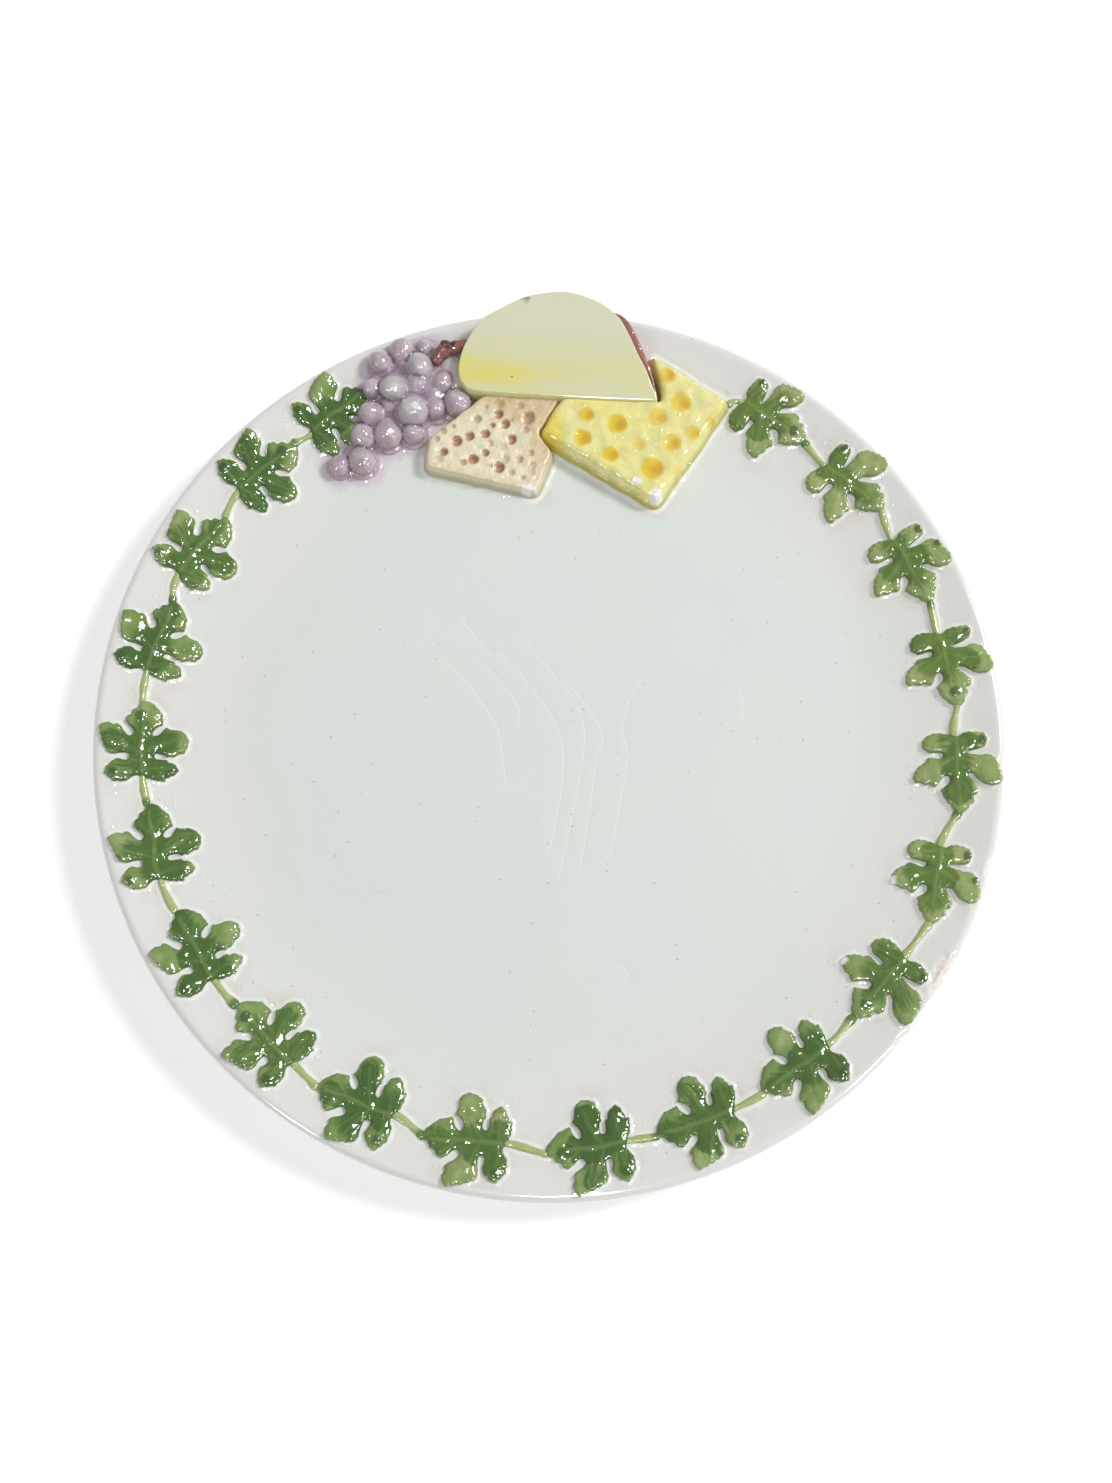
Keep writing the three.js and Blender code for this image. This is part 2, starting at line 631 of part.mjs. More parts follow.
addPiece(plate, "plate_body", plateBody(), DISH_COLOUR);
addPiece(plate, "half_wheel_cheese", halfWheel(seat), HALF_WHEEL_COLOUR);
addPiece(plate, "cheese_rind", cheeseRind(seat), RIND_COLOUR);
addPiece(plate, "holed_cheese", holedCheese(seat, wheelCutter), HOLED_CHEESE_COLOUR);

const crispbreadPiece = crispbread(seat, [wheelCutter, holedCheeseCutter]);
addPiece(plate, "crispbread", crispbreadPiece, CRISPBREAD_COLOUR);

const crispbreadShape = new THREE.Shape(CRISPBREAD_CORNERS.map(([x, y]) => fromLeftEnd(x, y)));
const crispbreadCutter = prism(crispbreadShape, CUTTER_HEIGHT);
const bunch = cutBy(grapes(0), [seat, wheelCutter, crispbreadCutter, stalk(SEAT_GAP)]);
addPiece(plate, "grape_bunch", bunch, GRAPE_COLOUR);
addPiece(plate, "grape_stalk", twigs, STALK_COLOUR);

// The garland, clockwise from the holed cheese to the grapes. A leaf is draped at +X and turned to its place.
const garland = new THREE.Group();
plate.add(garland);
const leafSolid = leafForm(0);
const clusterCutter = holedCheeseCutter.add(grapes(SEAT_GAP));
const count = leafCount();

for (let i = 0; i < count; i += 1) {
  const pose = leafPose(i, count);
  const number = String(i + 1).padStart(2, "0");
  const turnedBack = solidOf(geometryOf(clusterCutter).rotateZ(-pose.angle));
  const leaf = solidOf(laidLeaf(leafSolid, pose)).subtract(turnedBack);
  addPiece(garland, `leaf_${number}`, leaf, LEAF_COLOUR).rotation.z = pose.angle;

  const stem = vineStem(pose, i > 0 ? leafPose(i - 1, count) : null).subtract(clusterCutter);
  addPiece(garland, `vine_stem_${number}`, stem, STEM_COLOUR);
}

export default plate;
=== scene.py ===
# %% [markdown]
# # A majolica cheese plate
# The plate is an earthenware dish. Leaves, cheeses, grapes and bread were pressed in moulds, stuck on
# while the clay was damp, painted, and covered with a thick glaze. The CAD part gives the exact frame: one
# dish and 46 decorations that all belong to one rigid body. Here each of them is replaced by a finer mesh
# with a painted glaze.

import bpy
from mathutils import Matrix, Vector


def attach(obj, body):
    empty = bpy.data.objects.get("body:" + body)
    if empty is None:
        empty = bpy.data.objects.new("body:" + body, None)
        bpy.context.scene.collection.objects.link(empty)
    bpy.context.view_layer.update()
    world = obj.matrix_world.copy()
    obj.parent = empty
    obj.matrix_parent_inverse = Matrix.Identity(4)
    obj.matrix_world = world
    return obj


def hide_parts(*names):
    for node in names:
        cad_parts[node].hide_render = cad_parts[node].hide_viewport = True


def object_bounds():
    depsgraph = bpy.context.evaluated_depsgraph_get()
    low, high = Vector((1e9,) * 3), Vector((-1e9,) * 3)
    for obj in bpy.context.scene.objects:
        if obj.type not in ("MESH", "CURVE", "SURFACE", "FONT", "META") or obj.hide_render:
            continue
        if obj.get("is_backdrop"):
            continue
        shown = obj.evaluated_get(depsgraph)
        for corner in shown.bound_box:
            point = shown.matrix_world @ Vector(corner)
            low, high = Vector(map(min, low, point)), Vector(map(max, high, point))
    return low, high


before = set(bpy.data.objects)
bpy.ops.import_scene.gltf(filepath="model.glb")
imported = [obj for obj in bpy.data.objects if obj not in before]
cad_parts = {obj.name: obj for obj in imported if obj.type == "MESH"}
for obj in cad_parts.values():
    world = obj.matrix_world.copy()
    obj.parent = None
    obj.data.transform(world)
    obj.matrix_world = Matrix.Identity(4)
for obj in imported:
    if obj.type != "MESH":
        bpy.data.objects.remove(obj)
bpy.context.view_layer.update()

# %% [markdown]
# ## The dish's form
# Everything lies on the dish, so its height is the first thing that other pieces need. The well is flat
# and the rim rises as a parabola, which is the same rule as in the CAD source. All lengths in this script
# are millimetres until a mesh is made, because the CAD uses them too.

# %% Height of the dish
import math

import bpy
import numpy as np

WELL_RADIUS = 100.0
WELL_TOP = 9.5
RIM_RUN = 47.4
RIM_RISE = 8.0


def dish_top(x, y):
    """Height of the dish's upper face at plan points x, y."""
    share = np.maximum(0, np.hypot(x, y) - WELL_RADIUS) / RIM_RUN
    return WELL_TOP + RIM_RISE * share**2


def ripple(x, y, wavelength, seed=0):
    """Gentle unevenness from about -1 to 1: five sine waves that run in different directions."""
    total = 0.0
    for k in range(5):
        turn = 2.4 * k + 1.7 * seed
        pitch = wavelength * (0.75 + 0.13 * k)
        along = x * np.cos(turn) + y * np.sin(turn)
        total = total + np.sin(2 * np.pi * along / pitch + 1.3 * k * k + seed)
    return total / 3


def soft_step(value, low, high):
    """0 below low, 1 above high and a smooth slope between them."""
    share = np.clip((value - low) / (high - low), 0, 1)
    return share * share * (3 - 2 * share)


rim_top = float(dish_top(WELL_RADIUS + RIM_RUN, 0))
print("dish height at the well and at the rim:", WELL_TOP, round(rim_top, 2))

# %% [markdown]
# ## Curves and distances
# A moulded decoration starts as a closed outline. A Catmull-Rom curve passes through every point that it
# is given, so an outline can be drawn with few points. The distance of a point from the outline then gives
# rounded edges, and later the glaze that gathers there.

# %% Curve helpers


def sideways(line):
    """Unit vectors to the left of an open line in plan."""
    across = np.column_stack([-np.gradient(line[:, 1]), np.gradient(line[:, 0])])
    return across / np.linalg.norm(across, axis=1)[:, None]


def even_steps(line, step):
    """The same open line, cut into even steps."""
    run = np.concatenate([[0], np.cumsum(np.linalg.norm(np.diff(line, axis=0), axis=1))])
    at = np.linspace(0, run[-1], max(4, round(run[-1] / step)) + 1)
    return np.column_stack([np.interp(at, run, column) for column in line.T])


def smooth_line(points, step, closed=False):
    """A smooth line through the points, cut into even steps."""
    p = np.asarray(points, float)
    last = p[:1] if closed else p[-1:]
    if closed:
        p = np.vstack([p[-1:], p, p[:2]])
    else:
        p = np.vstack([p[:1], p, p[-1:]])
    before, here, after, later = p[:-3], p[1:-2], p[2:-1], p[3:]
    share = np.linspace(0, 1, 10, endpoint=False)[:, None, None]
    curve = here + 0.5 * share * (after - before)
    curve = curve + 0.5 * share**2 * (2 * before - 5 * here + 4 * after - later)
    curve = curve + 0.5 * share**3 * (3 * here - before - 3 * after + later)
    line = curve.transpose(1, 0, 2).reshape(-1, p.shape[1])
    line = even_steps(np.vstack([line, last]), step)
    return line[:-1] if closed else line


def distance_to(line, points, closed=True):
    """Distance of each point from a line of straight sides."""
    starts = line if closed else line[:-1]
    stops = np.roll(line, -1, 0) if closed else line[1:]
    best = np.full(len(points), np.inf)
    for start, stop in zip(starts, stops):
        side = stop - start
        share = np.clip((points - start) @ side / max(side @ side, 1e-12), 0, 1)
        best = np.minimum(best, np.linalg.norm(points - start - share[:, None] * side, axis=1))
    return best


def inside(loop, points):
    """True for the points inside a closed loop: a ray from them crosses it an odd number of times."""
    x, y = points.T
    odd = np.zeros(len(points), bool)
    for (x0, y0), (x1, y1) in zip(loop, np.roll(loop, -1, 0)):
        if y0 != y1:
            odd ^= ((y0 > y) != (y1 > y)) & (x < x0 + (y - y0) * (x1 - x0) / (y1 - y0))
    return odd


def inward(loop):
    """Unit vectors that point into an anticlockwise loop."""
    along = np.roll(loop, -1, 0) - np.roll(loop, 1, 0)
    along = along / np.linalg.norm(along, axis=1)[:, None]
    return np.column_stack([-along[:, 1], along[:, 0]])


# %% [markdown]
# ## Reliefs
# A press-moulded decoration has no undercuts, so it is a height over each point of its outline. Its top
# face is made of triangles: rows of points follow the outline, so that the edge rounds cleanly, and an
# even grid fills the rest. A wall then goes down into the dish, and a floor closes the body.

# %% Relief helpers
from mathutils import Vector
from mathutils.geometry import delaunay_2d_cdt


# Height of an even triangle with sides of 1
ROW_STEP = 0.866


def even_grid(low, high, spacing):
    """Points of a triangular grid that fills a box."""
    columns = np.arange(low[0], high[0] + spacing, spacing)
    rows = np.arange(low[1], high[1] + spacing, spacing * ROW_STEP)
    x, y = np.meshgrid(columns, rows)
    x[1::2] += spacing / 2
    return np.column_stack([x.ravel(), y.ravel()])


def relief_plan(loop, spacing, rows):
    """Points, triangles and distance from the edge of a relief's top face, seen from above."""
    parts = [loop]
    for depth in rows:
        row = loop + depth * inward(loop)
        parts.append(row[inside(loop, row) & (distance_to(loop, row) > 0.85 * depth)])
    grid = even_grid(loop.min(0), loop.max(0), spacing)
    grid = grid[inside(loop, grid)]
    parts.append(grid[distance_to(loop, grid) > rows[-1] + 0.45 * spacing])
    points = np.vstack(parts)
    sides = [(i, (i + 1) % len(loop)) for i in range(len(loop))]
    made = delaunay_2d_cdt([Vector(p) for p in points], sides, [], 1, 1e-7)
    points = np.array([tuple(p) for p in made[0]])
    return points, made[2], distance_to(loop, points)


# How far a relief's wall goes down into the dish
FOOT_DEPTH = 0.9


def join_rings(faces, upper, lower):
    """Adds a band of faces between two rings of points."""
    for i in range(len(upper)):
        j = (i + 1) % len(upper)
        faces.append((upper[i], lower[i], lower[j], upper[j]))


def close_relief(points, triangles, count, top, draft=0.0, rows=1):
    """Adds wall and floor. Returns points, faces, each one's plan point, and how far down the wall it is."""
    edge = points[:count]
    solid = [np.column_stack([points, top])]
    source = [np.arange(len(points))]
    down = [np.zeros(len(points))]
    faces = [tuple(triangle) for triangle in triangles]
    upper = np.arange(count)
    for k in range(1, rows + 1):
        share = k / rows
        place = edge - inward(edge) * draft * share
        foot = dish_top(*place.T) - FOOT_DEPTH
        solid.append(np.column_stack([place, top[:count] * (1 - share) + foot * share]))
        source.append(np.arange(count))
        down.append(np.full(count, share))
        lower = np.arange(count) + len(points) + (k - 1) * count
        join_rings(faces, upper, lower)
        upper = lower
    faces.append(tuple(upper[::-1]))
    return np.vstack(solid), faces, np.concatenate(source), np.concatenate(down)


def edge_round(distance, radius):
    """How far a rounded edge lies below the face: its radius at the outline, 0 from the radius inwards."""
    left = 1 - np.clip(distance / radius, 0, 1)
    return radius * (1 - np.sqrt(1 - left**2))


def add_piece(name, points, faces, masks):
    """A smooth mesh object. Masks are numbers for each point, which its material reads by name."""
    mesh = bpy.data.meshes.new(name)
    whole = [[int(i) for i in face] for face in faces]
    mesh.from_pydata((np.asarray(points) * 0.001).tolist(), [], whole)
    for key, values in masks.items():
        layer = mesh.attributes.new(key, "FLOAT", "POINT")
        layer.data.foreach_set("value", np.asarray(values, np.float32))
    mesh.shade_smooth()
    piece = bpy.data.objects.new(name, mesh)
    bpy.context.scene.collection.objects.link(piece)
    return piece


def fit_piece(piece, material, node):
    """Gives a piece its finish and lets it stand for its CAD node."""
    piece.data.materials.append(material)
    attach(piece, "root")
    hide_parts(node)


# %% [markdown]
# ## Paint and glaze as nodes
# All finishes share three effects, so each is a node group that is built once. "Glaze" gives a slow
# unevenness, small round pimples and a roughness that changes a little, as fired glaze has. "Brushwork"
# lets one paint cover another with a streaky border, and "Specks" scatters small iron spots.

# %% Node helpers


def paint(red, green, blue):
    """A colour in 8-bit screen values, as the linear values that nodes use."""
    linear = [((v / 255 + 0.055) / 1.055) ** 2.4 if v > 10 else v / 3294.6 for v in (red, green, blue)]
    return (*linear, 1.0)


def add_node(tree, kind, inputs=None, **settings):
    """A node with its settings made and its inputs set or linked."""
    node = tree.nodes.new(kind)
    for key, value in settings.items():
        setattr(node, key, value)
    for key, value in (inputs or {}).items():
        if isinstance(value, bpy.types.NodeSocket):
            tree.links.new(value, node.inputs[key])
        else:
            node.inputs[key].default_value = value
    return node


def mix(tree, share, first, second):
    """First colour where share is 0, second where it is 1."""
    return add_node(tree, "ShaderNodeMix", {0: share, 6: first, 7: second}, data_type="RGBA").outputs[2]


def math_node(tree, operation, first, second):
    """One calculation on two values. times and plus are the ones used most."""
    return add_node(tree, "ShaderNodeMath", {0: first, 1: second}, operation=operation).outputs[0]


def times(tree, first, second):
    return math_node(tree, "MULTIPLY", first, second)


def plus(tree, first, second):
    return math_node(tree, "ADD", first, second)


def object_place(tree):
    """Places on the piece itself, so that a pattern moves with it."""
    return add_node(tree, "ShaderNodeTexCoord").outputs["Object"]


def noise(tree, place, scale, detail, roughness=0.5):
    """Cloudy values round 0.5."""
    inputs = {"Vector": place, "Scale": scale, "Detail": detail, "Roughness": roughness}
    return add_node(tree, "ShaderNodeTexNoise", inputs).outputs["Fac"]


def slope(tree, value, low, high, to_low=0.0, to_high=1.0):
    """A smooth step of a value between two limits."""
    inputs = {"Value": value, "From Min": low, "From Max": high, "To Min": to_low, "To Max": to_high}
    return add_node(tree, "ShaderNodeMapRange", inputs, interpolation_type="SMOOTHSTEP").outputs[0]


def mask(tree, name):
    """A mask that was stored on the mesh."""
    return add_node(tree, "ShaderNodeAttribute", attribute_name=name).outputs["Fac"]


def new_group(name, inputs, outputs):
    """An empty node group with named sockets."""
    group = bpy.data.node_groups.new(name, "ShaderNodeTree")
    for key, value in inputs.items():
        kind = "NodeSocketColor" if isinstance(value, tuple) else "NodeSocketFloat"
        group.interface.new_socket(key, in_out="INPUT", socket_type=kind).default_value = value
    for key, kind in outputs.items():
        group.interface.new_socket(key, in_out="OUTPUT", socket_type=kind)
    given = group.nodes.new("NodeGroupInput").outputs
    return group, given, group.nodes.new("NodeGroupOutput").inputs


# %% The three node groups


def build_glaze():
    """Height for a bump, and roughness."""
    inputs = {"Scale": 120.0, "Smoothest": 0.07, "Pimples": 0.3}
    outputs = {"Height": "NodeSocketFloat", "Roughness": "NodeSocketFloat"}
    tree, given, result = new_group("Glaze", inputs, outputs)
    place = object_place(tree)
    flow = noise(tree, place, given["Scale"], 2.0)
    fine = noise(tree, place, 900.0, 2.0)
    cell = add_node(tree, "ShaderNodeTexVoronoi", {"Vector": place, "Scale": 450.0}).outputs
    chosen = add_node(tree, "ShaderNodeSeparateColor", {0: cell["Color"]}).outputs[0]
    pimple = slope(tree, cell["Distance"], 0.05, 0.34, 1.0, 0.0)
    pimple = times(tree, pimple, slope(tree, chosen, 0.5, 0.65))
    pimple = times(tree, pimple, given["Pimples"])
    tree.links.new(plus(tree, flow, pimple), result["Height"])
    tree.links.new(plus(tree, times(tree, fine, 0.08), given["Smoothest"]), result["Roughness"])
    return tree


def build_brushwork():
    """Two paints with a streaky border, each a little uneven in tone."""
    inputs = {"Under": (0.5, 0.5, 0.5, 1.0), "Over": (0.2, 0.2, 0.2, 1.0), "Cover": 0.5}
    inputs.update({"Scale": 250.0, "Softness": 0.15, "Mottle": 1.0})
    tree, given, result = new_group("Brushwork", inputs, {"Color": "NodeSocketColor"})
    place = object_place(tree)
    streak = noise(tree, place, given["Scale"], 4.0, 0.6)
    wobble = times(tree, math_node(tree, "SUBTRACT", streak, 0.5), 0.9)
    low = math_node(tree, "SUBTRACT", 0.5, given["Softness"])
    high = plus(tree, 0.5, given["Softness"])
    shown = slope(tree, plus(tree, given["Cover"], wobble), low, high)
    painted = mix(tree, shown, given["Under"], given["Over"])
    mottle = times(tree, slope(tree, streak, 0.3, 0.7, -0.1, 0.08), given["Mottle"])
    grain = noise(tree, place, times(tree, given["Scale"], 4.5), 2.0)
    tone = times(tree, plus(tree, mottle, 1.0), slope(tree, grain, 0.3, 0.7, 0.95, 1.05))
    toned = add_node(tree, "ShaderNodeVectorMath", {0: painted, 1: tone}, operation="MULTIPLY")
    tree.links.new(toned.outputs[0], result["Color"])
    return tree


def build_specks():
    """A small dot in some of the cells of a Voronoi pattern."""
    tree, given, result = new_group("Specks", {"Scale": 90.0, "Size": 0.05}, {"Mask": "NodeSocketFloat"})
    inputs = {"Vector": object_place(tree), "Scale": given["Scale"]}
    cell = add_node(tree, "ShaderNodeTexVoronoi", inputs).outputs
    near = math_node(tree, "LESS_THAN", cell["Distance"], given["Size"])
    chance = add_node(tree, "ShaderNodeSeparateColor", {0: cell["Color"]}).outputs[0]
    tree.links.new(times(tree, near, math_node(tree, "GREATER_THAN", chance, 0.7)), result["Mask"])
    return tree


glaze_group = build_glaze()
brush_group = build_brushwork()
speck_group = build_specks()
print("node groups:", [group.name for group in bpy.data.node_groups])

# %% [markdown]
# A finish starts as a glazed material whose bump and roughness come from the glaze group. Paints are then
# laid on with the brush, tinted where a mask of the mesh says so, and linked to the shader's colour last.

# %% Finish helpers
GLAZE_IOR = 1.62


def new_finish(name, scale, depth, smoothest=0.07, pimples=0.3):
    """A glazed material and its tree, with the glaze group linked to bump and roughness."""
    material = bpy.data.materials.new(name)
    material.use_nodes = True
    tree = material.node_tree
    shader = tree.nodes["Principled BSDF"].inputs
    shader["IOR"].default_value = GLAZE_IOR
    inputs = {"Scale": scale, "Smoothest": smoothest, "Pimples": pimples}
    glaze = add_node(tree, "ShaderNodeGroup", inputs, node_tree=glaze_group, name="Glaze").outputs
    inputs = {"Height": glaze["Height"], "Strength": 1.0, "Distance": depth}
    tree.links.new(add_node(tree, "ShaderNodeBump", inputs).outputs[0], shader["Normal"])
    tree.links.new(glaze["Roughness"], shader["Roughness"])
    return material, tree


def brush_on(tree, under, over, cover, scale, softness, mottle=1.0):
    """One paint brushed over another with a streaky border."""
    inputs = {"Under": under, "Over": over, "Cover": cover}
    inputs.update({"Scale": scale, "Softness": softness, "Mottle": mottle})
    return add_node(tree, "ShaderNodeGroup", inputs, node_tree=brush_group).outputs["Color"]


def speckled(tree, scale, size):
    """A mask of small iron spots."""
    inputs = {"Scale": scale, "Size": size}
    return add_node(tree, "ShaderNodeGroup", inputs, node_tree=speck_group).outputs["Mask"]


def tint(tree, colour, name, over, share=1.0):
    """Paints over a colour where a mask of the mesh is, as strongly as share says."""
    cover = mask(tree, name)
    if share < 1:
        cover = times(tree, cover, share)
    return mix(tree, cover, colour, paint(*over))


def show_colour(tree, colour):
    """Links the finished colour to the shader."""
    tree.links.new(colour, tree.nodes["Principled BSDF"].inputs["Base Color"])


# %% [markdown]
# ## The vine leaf
# One lobed leaf is pressed many times, and each pressing is trimmed by hand. Two outlines stand for that:
# the leaves of the right half and those of the left half. Points run from the leaf's base, along the side
# towards the well to the tip, and back along the rim side. The first number is the distance along the
# midrib and the second the distance from it, outwards.

# %% Leaf outlines
LEAF_RIGHT = [
    (-0.6, -1.6), (-1.3, -4.4), (-1.3, -7.2), (-0.4, -9.4), (1.3, -11.0), (2.5, -11.3), (4.1, -11.0),
    (4.7, -9.8), (5.5, -8.8), (5.8, -4.4), (6.7, -3.7), (7.6, -4.7), (7.1, -9.2), (8.7, -10.6),
    (9.3, -12.1), (10.6, -13.6), (12.4, -14.9), (14.5, -15.6), (15.7, -15.3), (16.1, -14.2),
    (16.0, -12.9), (16.8, -11.1), (16.5, -9.9), (17.4, -7.8), (17.0, -6.8), (15.8, -5.8), (14.4, -4.7),
    (13.7, -3.4), (14.0, -2.4), (15.1, -2.1), (16.2, -2.4), (17.3, -3.8), (18.2, -5.3), (18.8, -5.6),
    (20.3, -5.0), (22.3, -4.1), (23.4, -3.0), (25.3, -1.8), (26.5, 0.0), (26.5, 1.4), (25.6, 2.9),
    (23.8, 4.1), (23.1, 5.3), (22.4, 5.7), (21.7, 5.2), (21.0, 5.1), (20.6, 5.9), (20.1, 6.9),
    (19.1, 7.2), (17.6, 6.8), (15.2, 5.2), (14.1, 4.4), (13.4, 4.3), (13.2, 5.1), (13.7, 6.5),
    (14.9, 7.5), (16.2, 8.8), (17.0, 10.2), (17.2, 11.4), (17.6, 12.7), (17.3, 14.5), (16.2, 15.7),
    (15.2, 16.0), (13.2, 15.9), (9.4, 14.8), (8.1, 14.1), (6.9, 12.4), (6.5, 10.8), (6.8, 9.6),
    (6.6, 7.0), (6.3, 4.7), (5.9, 4.0), (5.5, 4.5), (5.0, 7.0), (4.4, 9.4), (3.8, 10.7), (2.3, 11.3),
    (0.8, 11.4), (-0.3, 10.8), (-0.8, 9.6), (-1.2, 5.6), (-0.8, 3.7), (0.1, 2.3), (0.2, 1.2),
]
LEAF_LEFT = [
    (-0.7, -1.9), (-1.3, -3.9), (-1.5, -7.8), (-0.5, -8.2), (0.0, -9.9), (1.3, -12.0), (2.4, -12.3),
    (3.9, -11.4), (4.9, -10.3), (5.2, -8.6), (6.0, -8.0), (6.2, -4.6), (7.1, -3.7), (8.1, -4.6),
    (7.8, -7.2), (7.0, -8.3), (7.3, -9.2), (7.1, -10.9), (8.1, -12.3), (8.4, -14.0), (9.5, -15.2),
    (12.1, -16.1), (13.8, -15.5), (15.2, -14.1), (15.8, -12.4), (16.0, -10.1), (16.7, -8.7), (16.2, -7.9),
    (14.8, -6.4), (14.2, -5.0), (14.2, -3.6), (15.1, -3.1), (16.2, -3.9), (17.1, -5.6), (17.5, -7.0),
    (18.3, -7.3), (19.6, -6.8), (21.6, -6.5), (23.9, -4.5), (25.7, -2.6), (26.5, 0.0), (25.7, 1.3),
    (24.3, 1.7), (23.9, 3.2), (22.6, 3.8), (21.6, 4.9), (21.2, 5.8), (19.5, 6.1), (18.1, 5.2),
    (16.6, 3.8), (15.5, 3.4), (14.6, 4.2), (14.6, 5.3), (16.1, 6.7), (17.8, 7.8), (18.7, 9.0),
    (18.3, 10.1), (18.6, 11.0), (19.0, 12.4), (18.5, 14.1), (17.9, 15.4), (16.5, 15.4), (12.8, 14.5),
    (10.5, 13.6), (9.0, 12.8), (8.0, 11.9), (7.7, 10.0), (8.0, 7.7), (7.8, 5.1), (6.8, 4.7), (5.9, 5.1),
    (5.9, 6.8), (6.4, 8.8), (5.6, 10.6), (3.6, 12.6), (1.9, 13.2), (1.0, 12.6), (0.1, 11.2), (-1.0, 9.8),
    (-1.2, 7.8), (-1.2, 5.5), (0.0, 3.5), (0.5, 2.1), (0.2, 0.9),
]
LEAF_SCALE = np.array([0.966, 0.875])
MIDRIB = [(0, 0), (8, 0.2), (15, 0), (23.5, 0)]
SIDE_VEINS = [
    [(1.6, 0), (2.6, -4), (3.0, -9.5)],
    [(1.6, 0), (1.4, 4), (2.2, 9.5)],
    [(7.6, 0), (10.2, -4.5), (12.6, -12)],
    [(7.6, 0), (9.6, 4.5), (12.6, 11.5)],
    [(15, 0), (18, -2.2), (20.5, -4)],
    [(15, 0), (18, 2.4), (20.4, 4)],
]


def along_line(line, points):
    """How far along an open line the nearest place is, and how far off it a point lies, signed by side."""
    run, off = np.zeros(len(points)), np.full(len(points), np.inf)
    done = 0.0
    for start, stop in zip(line[:-1], line[1:]):
        side = stop - start
        length = np.linalg.norm(side)
        from_start = points - start
        share = np.clip(from_start @ side / length**2, 0, 1)
        away = np.linalg.norm(from_start - share[:, None] * side, axis=1)
        nearer = away < np.abs(off)
        run = np.where(nearer, done + share * length, run)
        left = np.sign(side[0] * from_start[:, 1] - side[1] * from_start[:, 0])
        off = np.where(nearer, away * left, off)
        done += length
    return run, off


LEAF_STEP = 0.34
TOOTH_PITCH = 2.3
VEIN_WIDTH = 0.45


def leaf_mould(outline):
    """A leaf's points, triangles, outline length, and masks: edge, vein, along and across a vein."""
    loop = smooth_line(outline, LEAF_STEP, closed=True) * LEAF_SCALE
    run = np.arange(len(loop)) * LEAF_STEP
    tooth = (np.abs(np.sin(run * np.pi / TOOTH_PITCH)) - 0.6) * (0.6 + 0.4 * np.sin(run / 4.1))
    toothed = soft_step(np.hypot(loop[:, 0] - 9, loop[:, 1]), 8, 11.5)
    loop = loop - inward(loop) * (0.4 * tooth * toothed)[:, None]
    points, triangles, edge = relief_plan(loop, 0.7, (0.18, 0.42, 0.8))
    lines = [smooth_line(line, 0.5) * LEAF_SCALE for line in (MIDRIB, *SIDE_VEINS)]
    runs, offs = np.array([along_line(line, points) for line in lines]).transpose(1, 0, 2)
    near = np.exp(-((offs / VEIN_WIDTH) ** 2))
    vein = np.maximum(near[0], 0.45 * near[1:].max(axis=0)) * soft_step(edge, 0.3, 1.5)
    nearest = np.abs(offs).argmin(axis=0), np.arange(len(points))
    return points, triangles, len(loop), edge, vein, runs[nearest] + 30 * nearest[0], offs[nearest]


moulds = [leaf_mould(LEAF_RIGHT), leaf_mould(LEAF_LEFT)]
print("leaf moulds have", [len(mould[0]) for mould in moulds], "points")

# %% [markdown]
# ## The leaf's green
# The painter washed each leaf in olive green and ran darker strokes along the midrib and into the lobes.
# The wash thins to yellow-green in places, veins stay pale, and drops of glaze gathered at some lobes.
# The edges are darker green, partly glaze gathered at the foot and partly painted shade. The masks come
# from the mesh. Streaks follow the veins, because their noise uses the way along and across them.

# %% Leaf and stem finishes
leaf_glaze, tree = new_finish("Leaf glaze", 300.0, 0.0006, 0.05)
wash = mix(tree, mask(tree, "tone"), paint(114, 143, 72), paint(149, 168, 102))
patches = noise(tree, object_place(tree), 140.0, 1.0)
thinned = mix(tree, slope(tree, patches, 0.45, 0.7, 0.0, 0.45), wash, paint(172, 184, 132))
strokes = mix(tree, mask(tree, "tone"), paint(61, 97, 32), paint(94, 123, 48))
way = {"X": times(tree, mask(tree, "along"), 0.16), "Y": mask(tree, "across")}
way["Z"] = times(tree, mask(tree, "tone"), 40.0)
vein_place = add_node(tree, "ShaderNodeCombineXYZ", way).outputs[0]
streaks = slope(tree, noise(tree, vein_place, 1.0, 3.0), 0.25, 0.75, -0.22, 0.22)
green = brush_on(tree, thinned, strokes, plus(tree, mask(tree, "dark"), streaks), 200.0, 0.42)
# Painted shade: the leaf is darkened all round its edge, partly glaze gathered at its foot
green = tint(tree, green, "foot", (58, 84, 34), 0.4)
green = tint(tree, green, "vein", (150, 168, 102), 0.4)
green = tint(tree, green, "drop", (48, 82, 28), 0.8)
show_colour(tree, tint(tree, green, "chip", (236, 232, 226)))

stem_glaze, tree = new_finish("Stem glaze", 420.0, 0.0004)
streaky = brush_on(tree, paint(174, 187, 124), paint(94, 126, 58), mask(tree, "streak"), 320.0, 0.35)
show_colour(tree, streaky)
print("green finishes:", leaf_glaze.name, "and", stem_glaze.name)

# %% [markdown]
# ## The garland
# Twenty leaves follow each other clockwise round the rim, each with its tip at the next leaf's stem. A
# leaf's place is its distance along a ring, and every leaf has its own turn and slip, as in the CAD. Small
# waves bend each copy so that no two pressings are the same.

# %% Leaves
GARLAND_RADIUS = 133.7
GARLAND_START = 78.0
GARLAND_SPAN = 680.0
LEAF_MIDDLE = 11.13
RIGHT_LEAVES = 7
LEAF_EDGE = 1.6
LEAF_CROWN = 0.75
CHIPPED_LEAVES = (5, 6)
